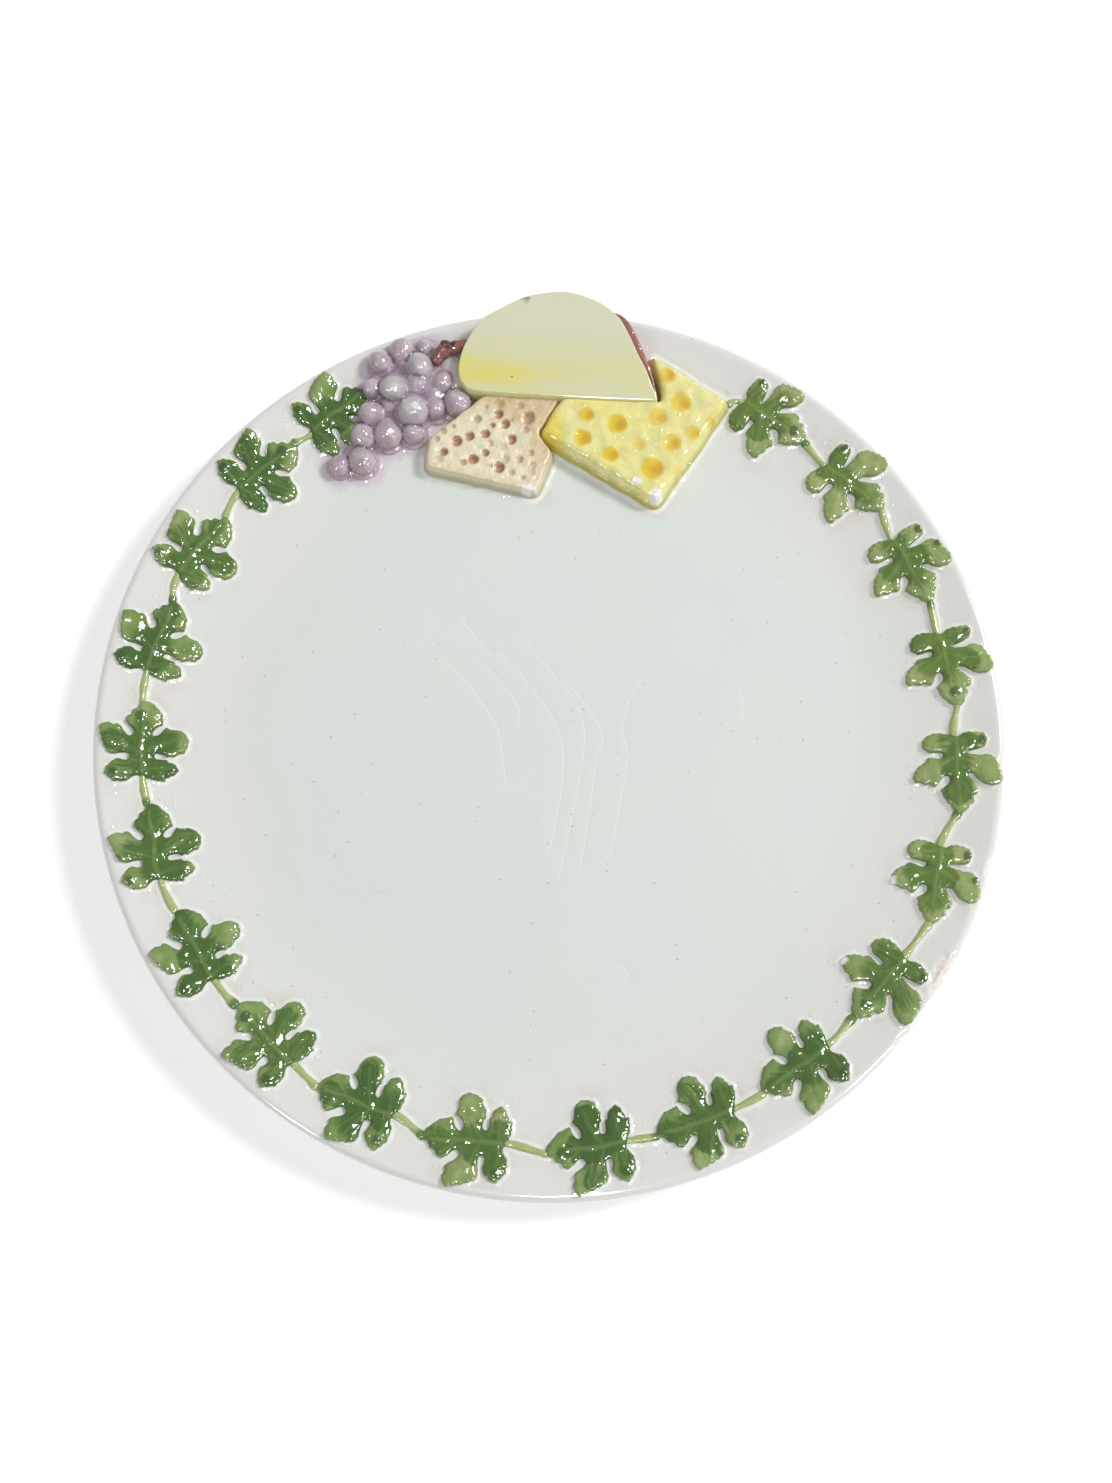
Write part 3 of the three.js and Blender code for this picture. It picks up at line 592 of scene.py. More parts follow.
# Turn in degrees and slip along the ring, for each leaf
LEAF_SETTINGS = [
    (-1, 0), (8, 0.4), (2, -0.3), (2, 0.3), (6, 0.3), (10, 2.3), (-5, 4.4), (-1, 6), (-2, 5.7), (3, 4.9),
    (6, 7), (7, 7.2), (-3, 6.5), (-2, 6.6), (-5, 7.2), (0, 6.1), (-5, 5.6), (-9, 4.2), (-3, 3.6), (7, 0),
]


def on_plate(points, leaf):
    """Points of a leaf, given along and across its midrib, in the plate's axes."""
    turn, slip = LEAF_SETTINGS[leaf]
    along = GARLAND_START + GARLAND_SPAN * leaf / (len(LEAF_SETTINGS) - 1) + slip
    angle = math.pi / 2 - along / GARLAND_RADIUS
    tilt = math.radians(turn - 90)
    u = points[:, 0] - LEAF_MIDDLE
    v = points[:, 1]
    x = GARLAND_RADIUS + u * math.cos(tilt) - v * math.sin(tilt)
    y = u * math.sin(tilt) + v * math.cos(tilt)
    cos, sin = math.cos(angle), math.sin(angle)
    return np.column_stack([x * cos - y * sin, x * sin + y * cos])


# Start and end of each stroke, along and across the midrib
STROKES = [
    [(1, 0), (16, 0)], [(2.5, 0), (2.6, -9)], [(2.5, 0), (2, 8.6)],
    [(8.5, 0), (13, -11.5)], [(8.5, 0), (13, 11)], [(12, 0), (25, 0.5)],
]


def dark_mask(points, leaf):
    """Where the darker strokes went, from 0 to 1: one along the midrib, then one into each lobe."""
    found = np.zeros(len(points))
    middle_reach = 0.3 if leaf < RIGHT_LEAVES else 0.58
    for number, ends in enumerate(STROKES):
        start, stop = np.array(ends, float)
        reach = 1 if number == 0 else middle_reach + 0.34 * math.sin(2.1 * leaf + 1.7 * number * number)
        half = (3.2 if number == 0 else 4.0) + 0.6 * math.sin(1.3 * leaf + 2.9 * number)
        soft = 0.8 if math.sin(3.7 * leaf + 2.3 * number) > 0.5 else 2.4
        line = np.array([start, start + reach * (stop - start)])
        away = distance_to(line, points, closed=False) + 0.35 * ripple(*points.T, 5, leaf + number)
        strength = 0.85 + 0.15 * math.sin(leaf * number)
        found = np.maximum(found, strength * (1 - soft_step(away, half - soft, half + soft)))
    return found


def drops_of(leaf):
    """Drops of glaze: always at the lower lobe of the rim side, and on some leaves once more."""
    spots = [(1.8, 8.6, 1.6)]
    if leaf % 3 == 0:
        spots.append((20.5, 0.6, 1.9))
    if leaf % 3 == 2:
        spots.append((9.0, 11.6, 1.4))
    return spots


outlines = []
for leaf in range(len(LEAF_SETTINGS)):
    points, triangles, count, edge, vein, along, across = moulds[0 if leaf < RIGHT_LEAVES else 1]
    u, v = points.T
    bend_u, bend_v = 0.35 * ripple(u, v, 17, leaf), 0.35 * ripple(u, v, 15, leaf + 40)
    flat = on_plate(np.column_stack([u + bend_u, v + bend_v]), leaf)
    height = LEAF_EDGE + LEAF_CROWN * (1 - np.exp(-edge / 2.3)) - edge_round(edge, 0.95)
    height += 0.34 * vein
    height += 0.24 * ripple(*flat.T, 5.4, leaf) * soft_step(edge, 0.2, 2.0)
    drop = np.zeros(len(points))
    for drop_u, drop_v, radius in drops_of(leaf):
        away = np.hypot(u - drop_u, v - drop_v) / radius
        height += 0.5 * np.sqrt(np.maximum(0, 1 - away**2))
        drop = np.maximum(drop, 1 - soft_step(away, 0.85, 1.0))
    chip = np.zeros(len(points))
    if leaf in CHIPPED_LEAVES:
        away = np.hypot(u - 14.0, v + 13.4) + 0.3 * ripple(u, v, 1.5)
        chip = 1 - soft_step(away, 1.6, 2.0)
        height -= 0.5 * chip
    top = dish_top(*flat.T) + height
    solid, faces, source, _ = close_relief(flat, triangles, count, top)
    facing = math.cos(math.atan2(flat[:, 1].mean(), flat[:, 0].mean()) - 0.26)
    light_side = 0.2 + 0.8 * soft_step(facing, 0.45, 0.8) + 0.2 * math.sin(2.7 * leaf)
    if leaf == len(LEAF_SETTINGS) - 1:
        light_side -= 0.5
    masks = {
        "dark": dark_mask(points, leaf)[source],
        # foot: a darker edge all round, partly glaze at the foot and partly painted shade
        "foot": np.exp(-edge / 0.5)[source],
        "along": along[source],
        "across": across[source],
        "vein": vein[source],
        "drop": drop[source],
        "chip": chip[source],
        "tone": np.full(len(source), np.clip(light_side, 0, 1)),
    }
    piece = add_piece(f"glazed_leaf_{leaf + 1:02d}", solid, faces, masks)
    fit_piece(piece, leaf_glaze, f"leaf_{leaf + 1:02d}")
    outlines.append(flat[:count])
print("leaves:", len(outlines), "points in the last:", len(solid))

# %% [markdown]
# ## Stems
# A stem is a thin roll of clay that was laid from a leaf's base to the tip of the leaf before it. It is
# swept: an oval ring is placed at each point of a curve, the rings are joined, and both ends are capped.

# %% Stems


def sweep(path, half_widths, half_heights, sides):
    """A closed rod along a path of x, y, z points."""
    along = np.gradient(path, axis=0)
    across = np.column_stack([-along[:, 1], along[:, 0], 0 * along[:, 0]])
    across = across / np.linalg.norm(across, axis=1)[:, None]
    up = np.cross(along, across)
    up = up / np.linalg.norm(up, axis=1)[:, None]
    angles = np.arange(sides) * 2 * np.pi / sides
    points = path[:, None] + across[:, None] * (half_widths[:, None] * np.cos(angles))[..., None]
    points = points + up[:, None] * (half_heights[:, None] * np.sin(angles))[..., None]
    faces = []
    for ring in range(len(path) - 1):
        for k in range(sides):
            j = (k + 1) % sides
            first, second = ring * sides, (ring + 1) * sides
            faces.append((first + k, first + j, second + j, second + k))
    faces.append(tuple(range(sides))[::-1])
    faces.append(tuple((len(path) - 1) * sides + k for k in range(sides)))
    return points.reshape(-1, 3), faces


STEM_SIDES = 12
FIRST_STEM_END = np.array([59.0, 116.8])
for leaf in range(len(LEAF_SETTINGS)):
    own = on_plate(np.array([[0.8, 0.0], [-3.5, 0.0]]), leaf)
    if leaf:
        far = on_plate(np.array([[24.8, 0.6]]), leaf - 1)[0]
    else:
        far = FIRST_STEM_END
    share = np.linspace(0, 1, 26)[:, None]
    line = (1 - share) ** 2 * own[0] + 2 * share * (1 - share) * own[1] + share**2 * far
    line = even_steps(line, 0.45)
    share = np.linspace(0, 1, len(line))
    near_end = np.maximum(0, np.abs(share - 0.5) - 0.44) / 0.06
    round_end = np.sqrt(np.clip(1 - near_end**2, 0.05, 1))
    bud = np.exp(-(((share - 0.86) / 0.11) ** 2)) * (0.35 if leaf % 2 else 0.1)
    half = (1.15 + 0.2 * np.cos(7 * share + leaf) + bud) * round_end
    path = np.column_stack([line, dish_top(*line.T) + 0.25])
    points, faces = sweep(path, half, 1.2 * round_end, STEM_SIDES)
    streak = np.repeat(0.25 + 0.6 * soft_step(share, 0.65, 0.9) * (leaf % 2), STEM_SIDES)
    piece = add_piece(f"glazed_stem_{leaf + 1:02d}", points, faces, {"streak": streak})
    fit_piece(piece, stem_glaze, f"vine_stem_{leaf + 1:02d}")
    across = sideways(line) * half[:, None]
    outlines.append(np.vstack([line + across, (line - across)[::-1]]))
print("stems:", len(LEAF_SETTINGS))

# %% [markdown]
# ## The half wheel of cheese and its rind
# The pale cheese is a slab that leans on the rim, cut straight on the side towards the well. Its top is a
# tilted plane with a narrow round edge. The rind is a strip outside it, widest on the right, where it
# shows as a red-brown line.

# %% Half wheel
CUT_SIDE = 115.4
CUT_TOP = 18.8
HALF_WHEEL_TILT = 0.208
# Outline, measured from the cut side
HALF_WHEEL = [
    (-29.5, 2.0), (-15, 1.2), (0, 0.6), (15, 0.2), (30, 0.1), (33.6, 0.3), (34.1, 1.2), (32.4, 5.1),
    (29.9, 10.8), (26.9, 16.4), (23.7, 22.8), (19.9, 28.6), (13.4, 33.2), (4.8, 36), (-1.4, 36.4),
    (-12.1, 34.5), (-22.4, 29.4), (-27.5, 26.1), (-32.2, 19.1), (-34.6, 12.5), (-34.8, 7.6), (-33.2, 4.2),
]


def half_wheel_top(x, y):
    """Height of the tilted top, slightly uneven."""
    return CUT_TOP + HALF_WHEEL_TILT * (y - CUT_SIDE) + 0.06 * ripple(x, y, 22, 3)


loop = smooth_line(np.array(HALF_WHEEL) + (0, CUT_SIDE), 0.7, closed=True)
points, triangles, edge = relief_plan(loop, 1.4, (0.14, 0.32, 0.6, 1.1))
top = half_wheel_top(*points.T) - edge_round(edge, 0.5)
solid, faces, _, down = close_relief(points, triangles, len(loop), top, 0.4, 3)
x, y, _ = solid.T
near_cut = soft_step(CUT_SIDE + 24 - y, 0, 12)
warm = 0.42 * near_cut + 0.5 * near_cut * soft_step(-x, -8, 28)
warm += 0.2 * soft_step(-x, -20, 10) * np.exp(-(((y - CUT_SIDE - 10) / 3) ** 2))
chip = 1 - soft_step(np.hypot(x + 12.5, (y - 149.3) * 2) + 0.4 * ripple(x, y, 2), 1.2, 2.2)
masks = {"warm": np.minimum(1, warm), "down": down, "chip": chip}
half_wheel = add_piece("glazed_half_wheel", solid, faces, masks)
outlines.append(solid[-len(loop):, :2])
print("half wheel points:", len(solid))

# %% Rind
RIND_WIDTH = 2.1
arc = smooth_line(np.array(HALF_WHEEL[6:21]) + (0, CUT_SIDE), 0.7)
share = np.linspace(0, 1, len(arc))
outward = -sideways(arc)
width = 0.4 + RIND_WIDTH * np.sin(np.pi * np.clip(share / 0.4, 0, 1)) ** 0.8
outer = arc + outward * width[:, None]
inner = (arc - outward * 0.6)[::-1]
loop = even_steps(np.vstack([outer, inner, outer[:1]]), 0.6)[:-1]
points, triangles, edge = relief_plan(loop, 0.9, (0.25, 0.6))
sunk = 3.5 * soft_step(24 - points[:, 0], 0, 8)
top = half_wheel_top(*points.T) - 0.6 - sunk - 1.1 * edge_round(edge, 1.1)
solid, faces, _, _ = close_relief(points, triangles, len(loop), top, 0.0, 3)
ends = soft_step(CUT_SIDE + 13 - solid[:, 1], 0, 11)
rind = add_piece("glazed_rind", solid, faces, {"ends": ends})
outlines.append(solid[-len(loop):, :2])
print("rind points:", len(solid))

# %% [markdown]
# The cheese got a thin wash of pale green-yellow, with broad yellow strokes at its left end, and the rind
# a red-brown that is darkest where the brush was set down. Noise that is stretched along the cut gives the
# strokes.

# %% Half wheel and rind finishes
pale_glaze, tree = new_finish("Pale cheese glaze", 60.0, 0.0003, pimples=0.05)
inputs = {"Vector": object_place(tree), "Scale": (18.0, 190.0, 60.0)}
stretched = add_node(tree, "ShaderNodeMapping", inputs).outputs[0]
stroke = slope(tree, noise(tree, stretched, 1.0, 3.0), 0.32, 0.6, 0.4, 1.0)
warmth = times(tree, mask(tree, "warm"), stroke)
pale = mix(tree, warmth, paint(217, 218, 188), paint(224, 216, 122))
pale = mix(tree, speckled(tree, 130.0, 0.05), pale, paint(120, 122, 90))
# Painted shade: the walls are tinted a darker olive, partly glaze gathered on them
pale = tint(tree, pale, "down", (196, 190, 118), 0.5)
show_colour(tree, tint(tree, pale, "chip", (172, 150, 132)))
fit_piece(half_wheel, pale_glaze, "half_wheel_cheese")

rind_glaze, tree = new_finish("Rind glaze", 300.0, 0.0004)
cover = slope(tree, mask(tree, "ends"), 0.0, 1.0, 0.3, 1.0)
show_colour(tree, brush_on(tree, paint(160, 104, 92), paint(92, 36, 34), cover, 300.0, 0.25))
fit_piece(rind, rind_glaze, "cheese_rind")

# %% [markdown]
# ## The cheese with holes
# The yellow cheese is a square slab that goes under the half wheel. Its eyes are shallow bowls of golden
# paint, darker gold on their right, which is partly paint gathered there and partly painted shade. The
# sides lean outwards, so that the clay came out of its mould, and their darker olive is partly glaze and
# partly painted shade.

# %% Holed cheese
EYE_MIDDLE = np.array([26.9, 110.1])
EYE_SPREAD = 24.25
HOLED_FRONT = 76.2
HOLED_TOP = 16.4
HOLED_TILT = 0.045
# Place in shares of the spread, radius in millimetres, and how golden it is
EYES = [
    (-0.71, 0, 2.6, 1), (-0.27, -0.13, 3.4, 1), (-0.76, -0.35, 3, 1), (-0.36, -0.59, 2.8, 1),
    (0.23, -0.78, 3.9, 1), (0.03, -0.43, 2.7, 0.4), (0.51, -0.39, 3.1, 0.8), (0.81, -0.23, 2.6, 0.7),
    (0.64, 0.22, 3.5, 0.8), (0.31, -0.01, 3.2, 0.7), (0.43, 0.63, 3, 0.75), (1.08, -0.05, 2.1, 0.6),
    (0.62, -0.8, 2.3, 0.35),
]
HOLED_CORNERS = [
    (-6.2, 103.6), (34.4, 79.6), (58.8, 116.8), (31.9, 133.2), (33.8, 125.4), (35.8, 116.8),
    (34.6, 115.8), (1.3, 116.8),
]


def rounded_loop(corners, radius, step):
    """A closed loop of straight sides with rounded corners."""
    corners = np.asarray(corners, float)
    line = []
    for before, corner, after in zip(np.roll(corners, 1, 0), corners, np.roll(corners, -1, 0)):
        enter = corner + (before - corner) * min(0.45, radius / np.linalg.norm(before - corner))
        leave = corner + (after - corner) * min(0.45, radius / np.linalg.norm(after - corner))
        for s in np.linspace(0, 1, 7):
            line.append((1 - s) ** 2 * enter + 2 * s * (1 - s) * corner + s * s * leave)
    line.append(line[0])
    return even_steps(np.array(line), step)[:-1]


loop = rounded_loop(HOLED_CORNERS, 1.8, 0.6)
loop = loop + inward(loop) * 0.25 * ripple(*loop.T, 11)[:, None]
points, triangles, edge = relief_plan(loop, 0.62, (0.25, 0.6, 1.1))
x, y = points.T
top = HOLED_TOP + HOLED_TILT * (y - HOLED_FRONT) - edge_round(edge, 2.0)
top += 0.28 * ripple(x, y, 8, 2) * soft_step(edge, 0.4, 2)
eye, pooled_and_shade = np.zeros(len(points)), np.zeros(len(points))
for eye_x, eye_y, radius, gold in EYES:
    middle = EYE_MIDDLE + EYE_SPREAD * np.array([eye_x, eye_y])
    away = np.hypot(x - middle[0], y - middle[1]) / (1.1 * radius)
    away += 0.06 * ripple(x, y, 4.5, 6)
    top -= 0.09 * radius * np.exp(-((away / 0.8) ** 4))
    eye = np.maximum(eye, gold * (1 - soft_step(away, 0.78, 1.08)))
    # A darker gold patch on the right of each eye: partly gathered paint, partly painted shade of the bowl's
    # wall
    right = np.hypot(x - middle[0] - 0.45 * radius, y - middle[1] + 0.1 * radius) / radius
    pool_and_shade = (1 - soft_step(away, 0.85, 1.05)) * (1 - soft_step(right, 0.2, 0.9))
    pooled_and_shade = np.maximum(pooled_and_shade, gold * pool_and_shade)
by_eye = np.hypot(x - 27.6, (y - 86.6) * 1.2) + 0.35 * ripple(x, y, 1.8)
at_corner = np.hypot(x - 34.2, y - 81.6) + 0.35 * ripple(x, y, 2.2)
chip = np.maximum(1 - soft_step(by_eye, 1.5, 1.9), 1 - soft_step(at_corner, 2.1, 2.5))
top -= 0.3 * chip
solid, faces, source, down = close_relief(points, triangles, len(loop), top, 1.8, 4)
golden = 1 - soft_step(np.hypot(solid[:, 0] + 5, (solid[:, 1] - 103.2) * 0.8), 2.5, 9)
masks = {"eye": eye[source], "pooled_and_shade": pooled_and_shade[source], "golden": golden}
masks.update({"chip": chip[source] * (down < 0.3), "down": down})
holed_cheese = add_piece("glazed_holed_cheese", solid, faces, masks)
outlines.append(solid[-len(loop):, :2])

# %% Holed cheese finish
yellow_glaze, tree = new_finish("Yellow cheese glaze", 260.0, 0.0005)
cover = plus(tree, mask(tree, "golden"), 0.42)
yellow = brush_on(tree, paint(232, 229, 170), paint(233, 221, 106), cover, 75.0, 0.5, 0.25)
yellow = tint(tree, yellow, "golden", (232, 204, 84), 0.55)
yellow = tint(tree, yellow, "eye", (229, 197, 58))
# Darker gold on the right of the eyes, partly painted shade
yellow = tint(tree, yellow, "pooled_and_shade", (214, 170, 46))
plain = slope(tree, mask(tree, "golden"), 0.0, 1.0, 0.9, 0.2)
# Painted shade: the sides turn a darker olive, less where the gold is, partly glaze gathered on them
side_shade = times(tree, slope(tree, mask(tree, "down"), 0.0, 0.7), plain)
yellow = mix(tree, side_shade, yellow, paint(184, 175, 82))
show_colour(tree, tint(tree, yellow, "chip", (240, 238, 234)))
fit_piece(holed_cheese, yellow_glaze, "holed_cheese")
print("holed cheese points:", len(solid))

# %% [markdown]
# ## The crispbread
# The bread is a thinner slab that leans on the half wheel and was pricked all over, so its pits have many
# sizes. Brown paint was wiped across it, which left the pits dark and the high places pale. Each pit is
# painted lighter on its lower left and darker on its upper right as painted light and shade. A painted
# shadow lies along the half wheel, and the walls turn a darker olive, partly glaze and partly painted shade.

# %% Crispbread
BREAD_CORNERS = [
    (-45.2, 90.9), (-7.2, 82.6), (-1.9, 97.2), (-7.0, 103.6), (1.2, 118), (-24.8, 118), (-44.6, 100.6),
]
BREAD_FRONT = 81.1
BREAD_TOP = 14.0
BREAD_TILT = 0.08
# Place, radius, and how deep and brown a pit is
PITS = [
    (-34.9, 100.1, 1.8, 1), (-30.6, 102, 1.7, 1), (-25.1, 103, 1.6, 1), (-20.7, 110.2, 1.5, 0.9),
    (-18.3, 106.7, 1.5, 0.9), (-16, 101.3, 1.6, 0.9), (-22.6, 106, 0.9, 0.8), (-39.3, 96, 1.5, 0.9),
    (-29, 93.7, 1.8, 0.9), (-24.9, 96.1, 1.3, 0.8), (-20, 91.1, 1.8, 1), (-10.4, 109.2, 2.1, 0.6),
    (-23.4, 99.6, 1.1, 0.4), (-27.9, 108.2, 1.4, 0.5), (-32.5, 92.5, 1.3, 0.5), (-18.9, 98.6, 1.5, 0.25),
    (-17.9, 94, 1.4, 0.35), (-13, 94.2, 1.2, 0.5), (-9.1, 96.5, 1, 0.5), (-8.6, 92.1, 1.4, 0.35),
    (-11.2, 104.8, 1.3, 0.4), (-13.3, 113.4, 1.3, 0.4), (-20.5, 114, 1.7, 0.4), (-39.4, 103.6, 1, 0.5),
    (-41.6, 100.6, 0.9, 0.5), (-15.6, 89.3, 1.1, 0.4), (-11.8, 87.7, 0.9, 0.5), (-8.7, 89.5, 1.2, 0.3),
    (-22.8, 91.6, 0.7, 0.5), (-40.5, 93.5, 1.3, 0.3), (-36, 105.3, 0.6, 0.6), (-16, 108, 0.5, 0.6),
    (-24.9, 112.8, 0.7, 0.4),
]

loop = rounded_loop(BREAD_CORNERS, 2.2, 0.5)
loop = loop + inward(loop) * 0.14 * ripple(*loop.T, 6, 5)[:, None]
points, triangles, edge = relief_plan(loop, 0.42, (0.2, 0.5, 0.9))
x, y = points.T
top = BREAD_TOP + BREAD_TILT * (y - BREAD_FRONT) - edge_round(edge, 0.9)
top += (0.16 * ripple(x, y, 4.4, 1) + 0.06 * ripple(x, y, 1.9, 8)) * soft_step(edge, 0.3, 1.2)
pit, pit_painted_light = np.zeros(len(points)), np.zeros(len(points))
for number, (pit_x, pit_y, radius, deep) in enumerate(PITS):
    oval = 1 + 0.12 * math.sin(number)
    away = np.hypot(x - pit_x, (y - pit_y) * oval) / (1.2 * radius)
    top -= 0.5 * deep * min(radius, 1.5) * np.exp(-((away / 0.85) ** 5))
    pit = np.maximum(pit, min(1, 1.3 * deep) * (1 - soft_step(away, 0.75, 1.08)))
    # Painted light and shade in each pit: lighter towards its lower left, darker elsewhere
    lit = np.hypot(x - pit_x + 0.5 * radius, y - pit_y + 0.5 * radius) / radius
    pit_painted_light = np.maximum(pit_painted_light, 1 - soft_step(lit, 0.3, 1.1))
at_corner = np.hypot((x + 9.6) * 0.45, y - 84.0) + 0.3 * ripple(x, y, 1.6)
chip = 1 - soft_step(at_corner, 0.9, 1.3)
solid, faces, source, down = close_relief(points, triangles, len(loop), top, 1.7, 3)
x, y, _ = solid.T
toasted = soft_step(y, 103, 112) * soft_step(x, -34, -16)
toasted += 0.7 * soft_step(x, -18, -6) * soft_step(y, 86, 100)
toasted += 0.45 * soft_step(3.5 - edge[source], 0, 3) * (down == 0)
# Painted shadow along the half wheel's cut side
under = soft_step(y, 113.4, 116.4)
masks = {"pit": pit[source], "pit_painted_light": pit_painted_light[source], "toasted": toasted, "under": under}
masks.update({"chip": chip[source] * (down < 0.4), "down": down})
crispbread = add_piece("glazed_crispbread", solid, faces, masks)
outlines.append(solid[-len(loop):, :2])

# %% Crispbread finish
bread_glaze, tree = new_finish("Crispbread glaze", 420.0, 0.0002, 0.34, 0.0)
cover = slope(tree, mask(tree, "toasted"), 0.0, 1.0, 0.22, 0.75)
bread = brush_on(tree, paint(232, 223, 192), paint(212, 187, 144), cover, 330.0, 0.4)
# Pits: brown paint, painted lighter on the lower left and darker on the upper right as light and shade
brown = mix(tree, mask(tree, "pit_painted_light"), paint(142, 98, 62), paint(188, 148, 104))
bread = mix(tree, mask(tree, "pit"), bread, brown)
# Painted shadow of the half wheel along the bread's top edge
bread = tint(tree, bread, "under", (184, 150, 90), 0.2)
# Painted shade: the walls turn a darker olive, partly glaze gathered on them
side = slope(tree, mask(tree, "down"), 0.0, 0.5, 0.0, 0.95)
bread = mix(tree, side, bread, paint(182, 180, 152))
show_colour(tree, tint(tree, bread, "chip", (238, 236, 232)))
fit_piece(crispbread, bread_glaze, "crispbread")
print("crispbread points:", len(solid))

# %% [markdown]
# ## The grapes
# Eighteen berries sit on a pad of clay, and thick glaze rounds off every crevice between them. Balls and
# pad are put in one mesh, a voxel Remesh modifier melts them into one skin, and a Smooth modifier lets the
# glaze flow. The result is kept as a plain mesh, so that its masks can be measured on it.

# %% Grapes
import bmesh
from mathutils import Matrix

BUNCH = np.array([-34.5, 115.4])
GRAPE_VOXEL = 0.00042
# Place from the bunch's own point, radius, and how far the berry is lifted
BERRIES = [
    (-20.2, 16.3, 4.1, 4.2), (-27.7, 12.1, 3.9, 4), (-14.2, 11.8, 4.2, 4.8), (-22.8, 2.6, 4.4, 6.5),
    (-14.5, 5.6, 3.4, 3.5), (-6.2, 6.2, 3.6, 4), (-0.8, -0.4, 4.5, 4.5), (-8.1, -2.7, 3.4, 3.5),
    (-15.9, -5.1, 5, 7), (-30.3, 3.6, 3.4, 3), (-30.6, -5.8, 4.1, 4.5), (-24.7, -2.2, 2.7, 2.5),
    (-32.9, -14, 4.2, 4.5), (-24.5, -13.2, 4.5, 5), (-15.7, -11.7, 3.8, 3.5), (-33, -22.7, 4.5, 4.5),
    (-40.7, -24.2, 3.6, 3), (-12.8, 18.7, 2.7, 2.5),
]
# Place, half width and half height of the flat balls that make the pad and the glaze beside it
PAD = [
    (-36, -19, 4, 2.2), (-29, -11.5, 6.5, 3.2), (-21.5, -2.5, 9.5, 4.4), (-14.5, 5, 11, 4.6),
    (-17.5, 13.5, 8.5, 4),
]
WEB = [
    (-3.4, 13.4, 5.5, 4.2), (-1.6, 8.2, 5, 4.4), (-0.5, 3.5, 4.5, 3.6), (-10.4, 18, 4.6, 2.3),
    (-23.5, 9.5, 6, 3.4),
]


def melted(piece, voxel, rounds):
    """Points and faces of a piece after Remesh and Smooth. The piece itself is removed."""
    skin = piece.modifiers.new("Melt", "REMESH")
    skin.mode = "VOXEL"
    skin.voxel_size = voxel
    piece.modifiers.new("Flow", "SMOOTH").iterations = rounds
    mesh = piece.evaluated_get(bpy.context.evaluated_depsgraph_get()).to_mesh()
    points = np.array([tuple(vertex.co) for vertex in mesh.vertices]) * 1000
    faces = [tuple(face.vertices) for face in mesh.polygons]
    bpy.data.objects.remove(piece)
    return points, faces


def ball(into, x, y, z, half_width, half_height):
    """Adds a round or flattened ball to a mesh."""
    shape = Matrix.Translation((x, y, z)) @ Matrix.Diagonal((half_width, half_width, half_height, 1))
    bmesh.ops.create_icosphere(into, subdivisions=4, radius=1, matrix=shape)


balls = bmesh.new()
berries = []
for x, y, radius, lift in BERRIES:
    x, y, radius = BUNCH[0] + x, BUNCH[1] + y, 1.06 * radius
    ground = float(dish_top(x, y))
    berries.append((x, y, ground + 0.66 * lift, radius))
    ball(balls, *berries[-1], radius)
    ball(balls, x, y, ground, radius + 1.3, 1.7)
for x, y, half_width, half_height in (*smooth_line(PAD, 3.0), *WEB):
    x, y = BUNCH[0] + x, BUNCH[1] + y
    ball(balls, x, y, float(dish_top(x, y)), half_width, half_height)
berries = np.array(berries)
bmesh.ops.scale(balls, vec=(0.001, 0.001, 0.001), verts=balls.verts)
mesh = bpy.data.meshes.new("bunch")
balls.to_mesh(mesh)
balls.free()
bunch = bpy.data.objects.new("bunch", mesh)
bpy.context.scene.collection.objects.link(bunch)
points, faces = melted(bunch, GRAPE_VOXEL, 8)
print("grapes:", len(points), "points")

# %% Grape masks
gaps = np.linalg.norm(points[:, None] - berries[None, :, :3], axis=2) - berries[None, :, 3]
nearest = np.sort(gaps, axis=1)
raised = points[:, 2] - dish_top(*points[:, :2].T)
# Painted shade: crevices between berries, a ring at each berry's foot and the pad are darkened to purple,
# partly purple glaze gathered there
between = (1 - soft_step(nearest[:, 1], 0.2, 1.4)) * (1 - soft_step(nearest[:, 0], 0.2, 1.1))
foot = np.exp(-(((nearest[:, 0] - 0.35) / 0.45) ** 2)) * soft_step(raised, 1.0, 2.4)
foot *= 0.45 + 0.3 * ripple(*points[:, :2].T, 6, 3)
pad = 0.75 * soft_step(nearest[:, 0], 0.2, 1.2) * soft_step(raised, 1.2, 2.8)
pad *= 1 - 0.9 * soft_step(points[:, 0], -47, -40)
crevice = np.maximum(between, np.maximum(foot, pad)) * soft_step(raised, 0.4, 1.6)
owner = np.argmin(gaps, axis=1)
# The lower side of each berry gets the darker lilac as painted shade
shaded = soft_step(berries[owner, 2] - points[:, 2], -2.0, 2.0)
# The tops of three berries are a greyer lilac, and the glaze beside the half wheel is lightened as painted
# light against its shadow
grey_and_painted_light = np.isin(owner, (2, 3, 8)) * soft_step(points[:, 2] - berries[owner, 2], 0.0, 2.5)
grey_and_painted_light = np.maximum(grey_and_painted_light, soft_step(points[:, 0], -44, -39) * soft_step(nearest[:, 0], 0.2, 1.0))
from_wear = np.hypot(points[:, 0] + 49.6, points[:, 1] - 110.6) + 0.4 * ripple(*points[:, :2].T, 2)
worn = 1 - soft_step(from_wear, 1.0, 1.7)
high = soft_step(raised, 0.8, 3)
points[:, 0] += 0.35 * high * ripple(points[:, 1], points[:, 2], 11, 1)
points[:, 1] += 0.35 * high * ripple(points[:, 0], points[:, 2], 11, 4)
points[:, 2] += 0.15 * high * ripple(points[:, 0], points[:, 1], 8, 2)
masks = {"crevice": crevice, "shaded": shaded, "grey_and_painted_light": grey_and_painted_light, "worn": worn}
grapes = add_piece("glazed_grapes", points, faces, masks)
print("share of the skin that lies in a crevice:", round(float(np.mean(crevice > 0.5)), 2))

